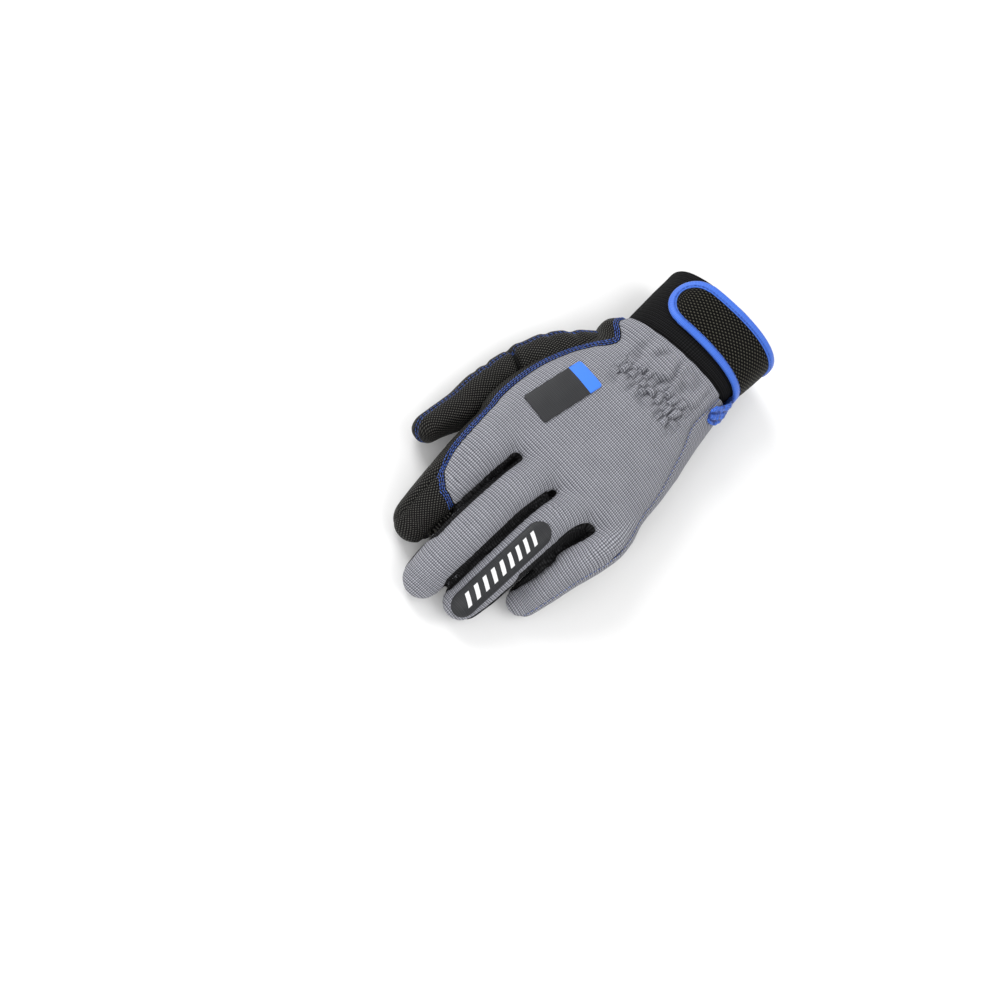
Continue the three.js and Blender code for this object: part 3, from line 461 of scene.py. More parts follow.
def palm_fields(points, on_palm):
    """Weave coordinates and seam distances of points on the palm, in millimetres."""
    # Past the knuckles the weave is still measured on the last full section
    s = np.minimum(on_palm["station"], np.searchsorted(palm_sec["along"], KNUCKLES_AT))
    pn = (on_palm["p"] + palm_sec["c"][on_palm["station"], 0] - palm_sec["c"][s, 0]) / palm_sec["a"][s]
    qn = (points[:, 2] - palm_sec["c"][s, 2]) / palm_sec["b"][s]
    pn, qn = bent(pn, ROUND / 2), bent(qn, ROUND / 2)
    steep = smoothstep(np.abs(pn), 0.8, 0.97)
    seen_above = np.sign(qn) * np.sqrt(np.clip(1 - pn ** 2, 0, 1))
    turn_at, seen_at = (np.degrees(np.arctan2(rise, pn)) for rise in (qn, seen_above))
    turn_at, seen_at = (np.where(turn < -90, turn + 360, turn) for turn in (turn_at, seen_at))
    turn_at = turn_at * steep + seen_at * (1 - steep)
    weave_arc = arc_at(palm_arc, s, turn_at)
    weave_low = np.sign(weave_arc) * (palm_girth[s] / 2 - np.abs(weave_arc))
    weave_x = palm_sec["c"][s, 0]
    s = on_palm["station"]
    arc, seam_in, seam_out, low_out = (arc_at(palm_arc, s, turn) for turn in (
        on_palm["degrees"], palm_sec["seam_in"][s], palm_sec["seam_out"][s], UNDER_EDGE))
    return {
        "back": np.minimum(seam_in - arc, arc - seam_out),
        "strip": np.minimum(seam_out - arc, arc - low_out),
        "gusset": np.full(len(points), FAR),
        "u_top": weave_arc + weave_x,
        "u_low": weave_low + weave_x,
        "v": points[:, 1].copy(),
    }


def finger_fields(name, hit):
    """The same on one finger. The dark strips are gussets, but for the grey one outside the little finger."""
    sec, (table, girth) = finger_secs[name], finger_arcs[name]
    st = hit["station"]
    out = {"strip": np.full(len(st), FAR)}
    shrink = np.clip(hit["level"], 0.05, 1.0)
    arc = arc_at(table, st, hit["degrees"]) * shrink
    low_in, low_out = (arc_at(table, st, turn) * shrink for turn in (-FINGER_EDGE, 180 + FINGER_EDGE))
    closed, wider = (np.interp(sec["c"][st, 1], SEAM_LIFT[:, 0], SEAM_LIFT[:, i]) for i in (1, 2))
    lift_in = {"index": sec["wrap"][st], "little": wider}.get(name, closed)
    lift_out = {"little": np.full(len(st), LITTLE_LIFT), "ring": wider}.get(name, closed)
    top_in = arc_at(table, st, lift_in) * shrink
    top_out = arc_at(table, st, 180 - lift_out) * shrink
    band_in = np.minimum(arc - top_in, low_in - arc)
    band_out = np.minimum(top_out - arc, arc - low_out)
    gusset = {"index": band_out, "little": band_in}.get(name, np.maximum(band_in, band_out))
    # Round the fingertip the seams stay level instead of running to a point
    tip = sec["scale"][st] < 0.999
    p, q, full_b = hit["p"], hit["q"], sec["full_b"][st]
    share = smoothstep(p / np.maximum(full_b, 1), -0.4, 0.4)
    level_in, level_out = (np.sin(np.radians(lift_at)) ** (2 / ROUND) for lift_at in (lift_in, lift_out))
    sink = smoothstep(1 - sec["scale"][st], 0, 0.3)
    top_level = full_b * ((level_out * (1 - share) + level_in * share) * (1 - sink) - 0.3 * sink)
    low_level = -full_b * math.sin(math.radians(FINGER_EDGE)) ** (2 / ROUND)
    round_band = np.minimum(top_level - q, q - low_level)
    sided = {"index": np.minimum(round_band, -p), "little": np.minimum(round_band, p)}.get(name, round_band)
    out["back"] = np.where(tip, q - top_level, np.minimum(top_in - arc, arc - top_out))
    out["gusset"] = np.where(tip, sided, gusset)
    if name == "little":
        out["strip"] = np.where(tip, np.minimum(round_band, -p), band_out)
    out["u_top"] = arc + sec["c"][st, 0]
    out["u_low"] = np.sign(arc) * (girth[st] * shrink / 2 - np.abs(arc)) + sec["c"][st, 0]
    out["v"] = (run_lengths(sec["c"]) + sec["c"][0, 1])[st] + hit["ahead"]
    return out


# %% [markdown]
# Over the knuckles the palm's answers fade into those of the finger that each point is nearest to.

# %% Join the palm's answers and the fingers'
def locate(points):
    """Weave coordinates and seam distances of points on the skin, in millimetres."""
    on_palm = on_sections(points, palm_sec, True)
    pick = np.zeros(len(points), int)
    beside = np.full(len(points), -FAR)
    for pair in zip(finger_names[:-1], finger_names[1:]):
        middle = gap_middle(points[:, 1], *pair)
        pick += points[:, 0] < middle
        end = min(FINGERS[name]["root"][1] + FINGERS[name]["length"] for name in pair) - 7
        past = np.maximum(points[:, 1] - end, 0) + np.maximum(GAP_START - points[:, 1], 0)
        beside = np.minimum(beside, np.abs(points[:, 0] - middle) + past)
    near = {k: on_sections(points, finger_secs[name], False) for k, name in enumerate(finger_names)}
    gap = np.min([np.abs(hit["depth"]) + 0.2 * np.abs(hit["ahead"]) for hit in near.values()], 0)

    out = palm_fields(points, on_palm)
    finger = {key: np.zeros(len(points)) for key in out}
    for k, name in enumerate(finger_names):
        mine = pick == k
        for key, values in finger_fields(name, {key: near[k][key][mine] for key in near[k]}).items():
            finger[key][mine] = values
    web = WRIST_Y + PALM_LENGTH
    seam_fade = smoothstep(points[:, 1], web - 13, web - 3)
    weave_fade = smoothstep(points[:, 1], web - 1, web + 11)
    for key in out:
        fade = weave_fade if key in ("u_top", "u_low", "v") else seam_fade
        out[key] = out[key] * (1 - fade) + finger[key] * fade
    # The rounded end of the grey on the index finger
    index = FINGERS["index"]
    line_x = index["root"][0] + INDEX_SEAM[::-1, 0] * index["width"]
    line_y = index["root"][1] + INDEX_SEAM[::-1, 1] * index["length"]
    beyond = points[:, 1] - np.interp(points[:, 0], line_x, line_y)
    out["tip"] = np.where((pick == 0) & (points[:, 1] > 80), beyond, -30)
    out["digit"] = pick.astype(float)
    out["inner_side"] = np.choose(pick, [near[k]["p"] for k in range(4)])
    high = np.choose(pick, [at["q"] / finger_secs[name]["full_b"][at["station"]]
                            for name, at in zip(finger_names, near.values())])
    line = GAP_LINE + 1.5 * smoothstep(-high, -0.6, -0.2)
    line += 2.6 * (pick == 3) * smoothstep(points[:, 1], 94, 99) * smoothstep(120 - points[:, 1], 0, 10)
    out["valley"] = np.where(high > 0, line - beside, FAR)
    out["joint"] = np.abs(on_palm["depth"]) + gap
    out["wrist"] = (points[:, 1] - WRIST_Y) - np.interp(
        on_palm["station"], np.arange(len(palm_along)), palm_sec["side"][:, 1]) * points[:, 0]
    return out


# %% [markdown]
# The webs are relaxed once their place is known. The seams' distances are then smoothed over the
# knuckles, where the palm and the fingers pull them to different sides.

# %% Relax the webs and smooth the seams
where = locate(skin)
soft = smoothstep(-where["joint"], -7, -1) * (skin[:, 1] > 40)
skin = relax(skin, skin_tris, 30, soft, 0.6, 0.0)
where = locate(skin)
knuckles = smoothstep(13 - np.abs(skin[:, 1] - 68), 0, 6)
seams = np.stack([where["back"], where["strip"], where["gusset"]], 1)
seams = relax(seams, skin_tris, 5, 1.0, 0.6, 0.0)
where["back"], where["strip"], where["gusset"] = seams.T
edge = relax(where["back"][:, None], skin_tris, 30, smoothstep(skin[:, 1], 60, 66), 0.6, 0.0)
where["back"] = relax(edge, skin_tris, 120, knuckles, 0.8, 0.0)[:, 0]
# The dark knit shows as a thin line wherever two fingers touch
where["back"] = np.minimum(where["back"], -where["valley"])
where["gusset"] = np.maximum(where["gusset"], where["valley"])
outer_knuckle = smoothstep(-skin[:, 0], 36, 44) * smoothstep(25 - np.abs(skin[:, 1] - 80), 0, 8)
charts = relax(np.stack([where["u_top"], where["v"]], 1), skin_tris, 80, outer_knuckle, 0.8, 0.0)
where["u_top"], where["v"] = charts.T
print("located", len(skin), "points")

# %% [markdown]
# Cloth is never dead smooth. Rows of elastic are sewn across the back of the wrist and pucker the knit
# between them; the palm has flexing creases under each finger joint; and every seam pulls
# its edges down into a small valley. All of it is a push along the skin's own normal, and the creases of
# the gathers also get painted shade: a value that darkens their colour.

# %% Soft noise
def ripple(points, scale, seed):
    """Soft noise between -1 and 1, of a size in millimetres."""
    return np.array([noise.noise(Vector(p) / scale + Vector((seed, 0, 0))) for p in points.tolist()])


# %% Gathers over the wrist
skin_tris, normal = facing_out(skin, skin_tris, skin.mean(0))
x, y = skin[:, 0], skin[:, 1]
top_face = smoothstep(normal[:, 2], 0.1, 0.6)
low_face = smoothstep(-normal[:, 2], 0.1, 0.6)
push = 0.28 * ripple(skin, 17.0, 3.1) + 0.12 * ripple(skin, 6.0, 8.7)

# Puckers in staggered rows: each is a small pillow between two lines of elastic
GATHER_Y, GATHER_LEAN = -2.2, 0.05
PUCKER, ROW_STEP = 4.7, 7.2
PILLOW_RISE, ROW_SINK = 3.8, 3.0
gather_y = GATHER_Y + GATHER_LEAN * x
flat = np.stack([x, y, 0 * x], 1)
warp_x, warp_y = 2.6 * ripple(flat, 11.0, 1.3), 4.0 * ripple(flat, 9.0, 6.1)
down = (y - gather_y + warp_y) / ROW_STEP
row_at = np.rint(down)
column = (x + warp_x) / PUCKER + 0.5 * (row_at % 2)
size = 0.75 + 0.45 * np.sin(row_at * 2.1 + np.floor(column) * 4.7)
between, over = np.abs(np.sin(math.pi * column)), np.abs(np.cos(math.pi * (down - row_at)))
pillow = between ** 0.55 * (0.35 + 0.65 * over ** 0.5)
across = smoothstep(27 - np.abs(x + 2.5), 0, 8) * top_face
near_rows = np.exp(-((np.abs(down) / (1.25 - 0.012 * x)) ** 6))
push += across * near_rows * (PILLOW_RISE * pillow * size - ROW_SINK)
# Painted shade: the creases between the puckers darken the colour, deeper than the mesh can show.
painted_crease_shade = across * near_rows * np.maximum(0.72 * smoothstep(0.5 - between, 0, 0.4),
                                       0.5 * smoothstep(0.35 - over, 0, 0.3))
# Folds fan out from the elastic to the wrist and towards the knuckles
fan = np.sin(2 * math.pi * (x + 2.4 * warp_x) / 10.5) * (0.4 + 1.1 * np.clip(0.5 + warp_y / 2, 0, 1))
above = smoothstep(gather_y - 5 - y, -2, 3) * smoothstep(where["wrist"], 0, 12)
below = smoothstep(y - gather_y, 4, 7) * bell(y - gather_y - 5, 9)
push += across * fan * (1.0 * above + 0.7 * below)
# Painted shade also darkens the valleys of the fans.
painted_crease_shade += across * (0.45 * below + 0.3 * above) * smoothstep(-fan, 0.2, 1.0)
push += 0.4 * bell(where["wrist"] - 3, 2.2) * smoothstep(where["back"], 0, 3)

# %% Creases under the joints, and seam valleys
for k, name in enumerate(finger_names):
    f = FINGERS[name]
    mine = (where["digit"] == k) & (y > f["root"][1] + 12)
    for share, depth in ((0.44, 1.0), (0.7, 0.8)):
        line = f["root"][1] + share * f["length"]
        push -= mine * low_face * depth * bell(y - line, 2.0)
        push += mine * top_face * 0.18 * np.sin((y - line) * 1.4) * bell(y - line, 6)
for tilt, line, depth in ((0.18, 38, 1.1), (-0.22, 22, 0.9), (0.05, 60, 0.9)):
    push -= low_face * (y < 68) * depth * bell(y - line - tilt * x, 2.2)

EDGE = 1.5
for key, depth in (("back", 0.9), ("strip", 0.35), ("gusset", 0.5)):
    push -= depth * bell(where[key], EDGE) * smoothstep(where["wrist"], -2, 1)
push += 0.35 * (1 - bell(where["back"], 6))
push -= 0.7 * bell(where["tip"], EDGE) * (where["back"] > -1)
skin = skin + normal * push[:, None]
rest_on_floor(skin)
print("pushed by", push.min().round(2), "to", push.max().round(2), "mm")

# %% [markdown]
# Panels are cut from the skin as a tailor would cut them, along the seams. A triangle that a seam
# crosses is split where the seam passes, so that every edge is a clean line. Each panel then gets its
# real thickness inwards.

# %% Cutting the skin along a seam
COLUMNS = ["u_top", "u_low", "v", "back", "strip", "gusset", "tip", "wrist", "digit", "inner_side", "painted_crease_shade"]


def cut(points, tris, data, field, keep_above=True):
    """The part of a surface where the field is above nought, or below it, split exactly on the line."""
    f = field if keep_above else -field
    f = np.where(np.abs(f) < 0.02, 0.02 * np.where(f < 0, -1, 1), f)
    stays = f > 0
    count = stays[tris].sum(1)
    whole = tris[count == 3]

    def turned(group, first):
        return np.stack([group[np.arange(len(group)), (first + k) % 3] for k in range(3)], 1)

    one, two = tris[count == 1], tris[count == 2]
    one, two = turned(one, np.argmax(stays[one], 1)), turned(two, np.argmin(stays[two], 1))
    pairs = np.concatenate([one[:, [0, 1]], one[:, [0, 2]], two[:, [1, 0]], two[:, [2, 0]]])
    low, high = pairs.min(1), pairs.max(1)
    keys, back = np.unique(low * len(points) + high, return_inverse=True)
    low, high = keys // len(points), keys % len(points)
    t = (f[low] / (f[low] - f[high]))[:, None]
    new_points = points[low] * (1 - t) + points[high] * t
    new_data = data[low] * (1 - t) + data[high] * t
    back = back + len(points)
    n1, n2 = len(one), len(two)
    tri_one = np.stack([one[:, 0], back[:n1], back[n1:2 * n1]], 1)
    cut_b, cut_c = back[2 * n1:2 * n1 + n2], back[2 * n1 + n2:]
    tri_two = np.concatenate([np.stack([two[:, 1], two[:, 2], cut_b], 1),
                              np.stack([two[:, 2], cut_c, cut_b], 1)])
    tris = np.concatenate([whole, tri_one, tri_two])
    points, data = np.concatenate([points, new_points]), np.concatenate([data, new_data])
    used, tris = np.unique(tris, return_inverse=True)
    return points[used], tris.reshape(-1, 3), data[used]


# %% Cut the panels
col = {name: i for i, name in enumerate(COLUMNS)}
# The painted crease shade rides along with the skin's other columns.
where["painted_crease_shade"] = np.clip(painted_crease_shade, 0, 1)
data = np.stack([where[name] for name in COLUMNS], 1)
GAP = 0.1
WRIST_TRIM = 2.5
hand = cut(skin, skin_tris, data, data[:, col["wrist"]] - WRIST_TRIM)


def split(part, field_of):
    field = field_of(part[2])
    return cut(*part, field - GAP), cut(*part, field + GAP, keep_above=False)


def round_min(a, b, radius):
    """The lower of two distances, with the corner between them rounded off."""
    mix = np.clip(0.5 + 0.5 * (b - a) / radius, 0, 1)
    return b * (1 - mix) + a * mix - radius * mix * (1 - mix)


def on_back(d):
    return round_min(d[:, col["back"]], -d[:, col["tip"]], 5.0)


back_part, rest = split(hand, on_back)
tip_part, rest = split(rest, lambda d: np.minimum(d[:, col["back"]], d[:, col["tip"]] + 1.2))
strip_part, rest = split(rest, lambda d: d[:, col["strip"]])
gusset_part, palm_part = split(rest, lambda d: d[:, col["gusset"]])
print("panels:", {n: len(p[1]) for n, p in dict(back=back_part, tip=tip_part, strip=strip_part,
                                                gusset=gusset_part, palm=palm_part).items()})

# %% [markdown]
# Materials come next, because every piece takes one when it is made. Two effects are shared: the fine
# grid of the knit, and the rows of small raised dots on the black sheet. Each is a node group that
# gives a height and a mask from the cloth's own UV map, so the pattern follows the cloth.

# %% Shared pattern groups
def add_node(tree, kind, inputs=(), **settings):
    """A node with its settings. Each input is linked to a socket, or else given a value."""
    node = tree.nodes.new(kind)
    for key, value in settings.items():
        setattr(node, key, value)
    for key, value in dict(inputs).items():
        if isinstance(value, bpy.types.NodeSocket):
            tree.links.new(value, node.inputs[key])
        else:
            node.inputs[key].default_value = value
    return node


def math_node(tree, operation, *values, clamp=False):
    return add_node(tree, "ShaderNodeMath", enumerate(values), operation=operation, use_clamp=clamp).outputs[0]


def new_group(name, values, results):
    """A shader group that takes a Vector and some numbers, and gives numbers."""
    tree = bpy.data.node_groups.new(name, "ShaderNodeTree")
    tree.interface.new_socket("Vector", in_out="INPUT", socket_type="NodeSocketVector")
    for label, value in values.items():
        tree.interface.new_socket(label, in_out="INPUT", socket_type="NodeSocketFloat").default_value = value
    for label in results:
        tree.interface.new_socket(label, in_out="OUTPUT", socket_type="NodeSocketFloat")
    given, result = tree.nodes.new("NodeGroupInput").outputs, tree.nodes.new("NodeGroupOutput").inputs
    return tree, given, result, add_node(tree, "ShaderNodeSeparateXYZ", {0: given["Vector"]}).outputs


# The UV maps are in hundredths of a millimetre
MM = 100.0


def knit_group():
    """Fine grid of a stretch knit. Pitch is in millimetres."""
    tree, given, result, xyz = new_group("knit_grid", {"Pitch": 0.8}, ("Height", "Shade"))
    calc = partial(math_node, tree)
    turns = calc("DIVIDE", MM * 2 * math.pi, given["Pitch"])
    u, v = (calc("MULTIPLY", xyz[k], turns) for k in (0, 1))
    wave_u = calc("SINE", u)
    half_row = calc("MULTIPLY", calc("SINE", calc("MULTIPLY", v, 0.5)), 0.6)
    wave_v = calc("SINE", calc("ADD", v, half_row))
    both = calc("MULTIPLY", wave_u, wave_v)
    lines = calc("ADD", calc("MULTIPLY", wave_u, 0.42), calc("MULTIPLY", wave_v, 0.46))
    height = calc("MULTIPLY_ADD", both, 0.3, lines)
    tree.links.new(height, result["Height"])
    tree.links.new(calc("MULTIPLY_ADD", height, 0.75, 0.5, clamp=True), result["Shade"])
    return tree


def dots_group():
    """Rows of raised dots, every other row moved by half a pitch. Pitch is in millimetres."""
    tree, given, result, xyz = new_group(
        "raised_dots", {"Pitch": 1.7, "Stretch": 1.3, "Size": 0.34}, ("Height", "Dot"))
    calc = partial(math_node, tree)
    scale = calc("DIVIDE", MM, given["Pitch"])
    u = calc("MULTIPLY", xyz[0], scale)
    v = calc("DIVIDE", calc("MULTIPLY", xyz[1], scale), given["Stretch"])
    near = []
    for shift in (0.0, 0.5):
        du, dv = (calc("SUBTRACT", calc("FRACT", calc("ADD", at, shift)), 0.5) for at in (u, v))
        near.append(calc("SQRT", calc("ADD", calc("MULTIPLY", du, du), calc("MULTIPLY", dv, dv))))
    nearest = {"Value": calc("MINIMUM", *near), "From Min": given["Size"], "From Max": 0.1}
    dot = add_node(tree, "ShaderNodeMapRange", nearest, interpolation_type="SMOOTHSTEP")
    tree.links.new(dot.outputs[0], result["Height"])
    tree.links.new(calc("POWER", dot.outputs[0], 2.0), result["Dot"])
    return tree


KNIT, DOTS = knit_group(), dots_group()
print("groups:", KNIT.name, DOTS.name)


# %% [markdown]
# A finish is a Principled BSDF with a pattern feeding its colour, roughness and bump, and a painted shade
# that darkens its colour in deep creases. Cloth is rough with a little sheen; the black sheet is a coated
# leather-cloth whose dots catch small highlights.

# %% Finishes
def finish(name, dark, light, roughness, pattern=None, pitch=1.0, bump=0.3, bump_mm=0.2, sheen=0.0,
           coords="UV", stretch=1.3, size=0.34, blotch=0.12, specular=0.5, rough_spread=0.1):
    mat = bpy.data.materials.new(name)
    mat.use_nodes = True
    tree = mat.node_tree
    calc = partial(math_node, tree)
    surface = tree.nodes["Principled BSDF"].inputs
    surface["Specular IOR Level"].default_value = specular
    if sheen:
        surface["Sheen Weight"].default_value = sheen
        surface["Sheen Roughness"].default_value = 0.45
    place = add_node(tree, "ShaderNodeTexCoord").outputs
    vary = add_node(tree, "ShaderNodeTexNoise", {"Vector": place["Object"], "Scale": 90.0, "Detail": 5.0})
    spread = calc("MULTIPLY_ADD", vary.outputs[0], blotch * 2, -blotch)
    if pattern:
        shape = {"Stretch": stretch, "Size": size} if pattern == DOTS else {}
        group = add_node(tree, "ShaderNodeGroup", node_tree=pattern)
        for key, value in {"Pitch": pitch, **shape}.items():
            group.inputs[key].default_value = value
        tree.links.new(place[coords], group.inputs["Vector"])
        amount = calc("ADD", group.outputs[1], spread, clamp=True)
        fine = add_node(tree, "ShaderNodeTexNoise", {"Vector": place["Object"], "Scale": 1800.0})
        height = calc("MULTIPLY_ADD", fine.outputs[0], 0.25, group.outputs[0])
        raised = add_node(tree, "ShaderNodeBump", {
            "Strength": bump, "Distance": bump_mm / 1000, "Height": height})
        tree.links.new(raised.outputs[0], surface["Normal"])
    else:
        amount = calc("ADD", 0.5, spread, clamp=True)
    # Painted shade: a point attribute pulls the colour towards the dark end in deep creases.
    crease_shade = add_node(tree, "ShaderNodeAttribute", attribute_name="painted_crease_shade")
    amount = calc("MULTIPLY", amount, calc("MULTIPLY_ADD", crease_shade.outputs["Fac"], -0.85, 1.0))
    mix = add_node(tree, "ShaderNodeMix", data_type="RGBA")
    mix.inputs["A"].default_value, mix.inputs["B"].default_value = (*dark, 1), (*light, 1)
    tree.links.new(amount, mix.inputs["Factor"])
    tree.links.new(mix.outputs["Result"], surface["Base Color"])
    tree.links.new(calc("MULTIPLY_ADD", amount, -rough_spread, roughness + rough_spread / 2, clamp=True),
                   surface["Roughness"])
    return mat


grey_knit = finish("grey_knit", (0.022, 0.023, 0.031), (0.455, 0.46, 0.51), 0.85, KNIT, 1.17, 0.8, 0.35,
                   sheen=0.1, specular=0.2, blotch=0.06)
palm_sheet = finish("palm_sheet", (0.0012, 0.0012, 0.0012), (0.082, 0.08, 0.073), 0.5, DOTS, 1.65, 1.0, 0.5,
                    specular=0.1, rough_spread=0.2, blotch=0.02)
black_knit = finish("black_knit", (0.001, 0.001, 0.001), (0.03, 0.03, 0.032), 0.9, KNIT, 1.4, 0.8, 0.35,
                    specular=0.1, blotch=0.05)
cuff_knit = finish("cuff_knit", (0.0005, 0.0005, 0.0005), (0.015, 0.015, 0.016), 0.9, KNIT, 1.3, 0.7, 0.3,
                   specular=0.1, blotch=0.05)
strap_web = finish("strap_web", (0.001, 0.001, 0.001), (0.072, 0.069, 0.055), 0.5, DOTS, 2.05, 1.0, 0.5,
                   stretch=1.5, size=0.31, specular=0.06, blotch=0.02)
blue_tape = finish("blue_tape", (0.02, 0.085, 0.47), (0.06, 0.19, 0.72), 0.42, KNIT, 0.7, 0.35, 0.12,
                   sheen=0.15, specular=0.35, blotch=0.25)
# A copy of the blue tape whose dark end is much darker, so that the painted crease shade turns its creases
# navy.
tape_with_painted_shade = finish("tape_with_painted_shade", (0.003, 0.01, 0.09), (0.07, 0.23, 0.95), 0.45, KNIT, 0.7, 0.3, 0.12,
                      sheen=0.1, specular=0.35, blotch=0.25)
blue_thread = finish("blue_thread", (0.015, 0.05, 0.27), (0.04, 0.12, 0.5), 0.5, KNIT, 0.3, 0.2, 0.05,
                     coords="Object")
print("finishes:", len(bpy.data.materials))


# %% [markdown]
# A finished piece rides on the model's one body and takes the place of its CAD solid. Solidify gives a
# panel its wall, inwards from the skin.

# %% Finish a piece
def settle(obj, slot, *nodes):
    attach(obj, "root")
    if nodes:
        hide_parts(*nodes)
    return obj


def shade_creases(obj, share):
    """Paints shade into deep creases, which hold less light than their shallow meshes show."""
    crease_shade = obj.data.attributes.new("painted_crease_shade", "FLOAT", "POINT")
    crease_shade.data.foreach_set("value", np.asarray(share, np.float32))


def add_wall(obj, name, thickness, offset=-1):
    """A thickness in millimetres, laid inwards at an offset of -1 and outwards at 1."""
    wall = obj.modifiers.new(name, "SOLIDIFY")
    wall.thickness = thickness / 1000
    wall.offset = offset


def panel(name, part, chart, material, slot, wall, *nodes):
    points, tris, d = part
    uv = np.stack([d[:, col[chart]], d[:, col["v"]]], 1)
    obj = add_object(name, points, tris, uv)
    obj.data.materials.append(material)
    # Painted shade in the gathers' creases, carried as a point attribute.
    shade_creases(obj, d[:, col["painted_crease_shade"]])
    add_wall(obj, "wall", wall)
    a, b, c = (points[tris[:, k]] for k in range(3))
    area = np.linalg.norm(np.cross(b - a, c - a), axis=1).sum() / 2
    spread = np.ptp(uv, axis=0)
    print(name, len(tris), "triangles before its wall,", round(area / 100, 1), "square cm,",
          spread.round(1), "mm across and along")
    return settle(obj, slot, *nodes)


# %% Panels of the hand
back_piece = panel("back_cloth", back_part, "u_top", grey_knit, "grey_knit", 1.3, "back_panel")
strip_piece = panel("outer_strip_cloth", strip_part, "u_top", grey_knit, "grey_knit", 1.3, "outer_side_strip")
palm_piece = panel("palm_cloth", palm_part, "u_low", palm_sheet, "palm_sheet", 2.0, "palm_panel")
tip_piece = panel("index_cap_cloth", tip_part, "u_top", palm_sheet, "palm_sheet", 1.3, "index_tip_cap")

# %% [markdown]
# The strips between the fingers come off the skin in one part. Each triangle goes to the gap that it
# borders: its finger, and the side of that finger, tell which.

# %% Strips between the fingers
g_points, g_tris, g_data = gusset_part
digit = np.rint(g_data[:, col["digit"]]).astype(int)
web_of = np.where(g_data[:, col["inner_side"]] > 0, digit - 1, digit)
web_of = np.clip(web_of, 0, 2)[g_tris[:, 0]]
for k, name in enumerate(["index_middle", "middle_ring", "ring_little"]):
    mine = g_tris[web_of == k]
    used, local = np.unique(mine, return_inverse=True)
    part = (g_points[used], local.reshape(-1, 3), g_data[used])
    panel(f"gusset_cloth_{name}", part, "u_top", black_knit, "black_knit", 1.0, f"gusset_{name}")

# %% [markdown]
# The thumb is a tube of its own, two halves sewn along its back and its front, set into the side of
# the palm. It is cut off where it enters the hand, and kept clear of the index finger beside it.

# %% The thumb's tube
THUMB_SEAM = 35
thumb_sec = digit_sections(THUMB, 150, 18)
thumb_round = np.linspace(THUMB_SEAM, THUMB_SEAM + 360, 145)[:-1]
ring = rim(thumb_sec, thumb_round)
rings, sides = ring.shape[:2]
t_points = ring.reshape(-1, 3)
t_tris = halves(np.array(tube_faces(rings, sides, caps=False)))
girth = np.concatenate([np.zeros((rings, 1)), np.cumsum(np.linalg.norm(np.diff(ring, axis=1), axis=2), 1)], 1)
run = run_lengths(thumb_sec["c"])
t_tris, t_normal = facing_out(t_points, t_tris, np.repeat(thumb_sec["c"], sides, 0))
whole = girth[:, -1:] + np.linalg.norm(ring[:, :1] - ring[:, -1:], axis=2)
seam_gap = np.minimum(np.abs(girth), np.abs(whole / 2 - girth))
seam_gap = np.minimum(seam_gap, whole - girth).ravel()
t_push = 0.3 * ripple(t_points, 13.0, 5.2) + 0.12 * ripple(t_points, 5.0, 2.2)
t_push -= 0.8 * bell(seam_gap, EDGE)
for line, depth, reach in ((-6.0, 1.3, 2.4), (6.0, 0.8, 2.0), (44.0, 0.9, 2.2), (52.0, 0.5, 2.0)):
    bend = line + 0.35 * (t_points[:, 2] - 14)
    t_push -= depth * bell(t_points[:, 1] - bend, reach)
t_push -= 0.2 * bell(seam_gap, 6)
# One deep crease slants across the top, with a soft roll beside it
past_fold = t_points[:, 1] - (34 + 0.55 * (60 - t_points[:, 0]))
on_top = smoothstep(t_points[:, 2], 12, 20)
thumb_crease_and_shade = on_top * bell(past_fold, 1.6)
t_push -= 2.8 * thumb_crease_and_shade
t_push += 0.9 * on_top * bell(past_fold + 5, 3.2)
t_points = t_points + t_normal * t_push[:, None]
rest_on_floor(t_points)
print("thumb", len(t_points), "points")

# %% Cut the thumb at the palm and along its seams
on_palm = on_sections(t_points, palm_sec, True)["depth"]
on_palm = np.where(t_points[:, 1] > WRIST_Y + 0.93 * PALM_LENGTH, 20, on_palm)
index_hit = on_sections(t_points, finger_secs["index"], False)
press = np.clip(0.7 - index_hit["depth"], 0, None) * (t_points[:, 1] > 45)
away = t_points - finger_secs["index"]["c"][index_hit["station"]]
away[:, 1] = 0
away /= np.maximum(np.linalg.norm(away, axis=1), 1e-6)[:, None]
t_points = t_points + away * np.minimum(press, 6)[:, None]
half = whole / 2
signed = np.where(girth < half, np.minimum(girth, half - girth), -np.minimum(girth - half, whole - girth))
t_data = np.stack([girth.ravel(), np.repeat(run, sides), on_palm, signed.ravel(), thumb_crease_and_shade], 1)
thumb_open = cut(t_points, t_tris, t_data, t_data[:, 2] + 1.2)


def thumb_half(name, side, node):
    points, tris, d = cut(*thumb_open, side * thumb_open[2][:, 3] - GAP)
    obj = add_object(name, points, tris, d[:, :2])
    obj.data.materials.append(palm_sheet)
    # Painted shade: the thumb's deep crease also darkens the colour.
    shade_creases(obj, d[:, 4])
    add_wall(obj, "wall", 1.4)
    print(name, len(tris), "triangles")
    return settle(obj, "palm_sheet", node)


thumb_pieces = [thumb_half("thumb_cloth_back", 1, "thumb_back"),
                thumb_half("thumb_cloth_front", -1, "thumb_front")]

# %% [markdown]
# The cuff is a wide elastic rib, turned in at its open edge and sewn inside the wrist of the glove.
# It is one tube with a rolled mouth, its outer wall running back into its inner wall.

# %% Cuff
CUFF_WALL = 2.4
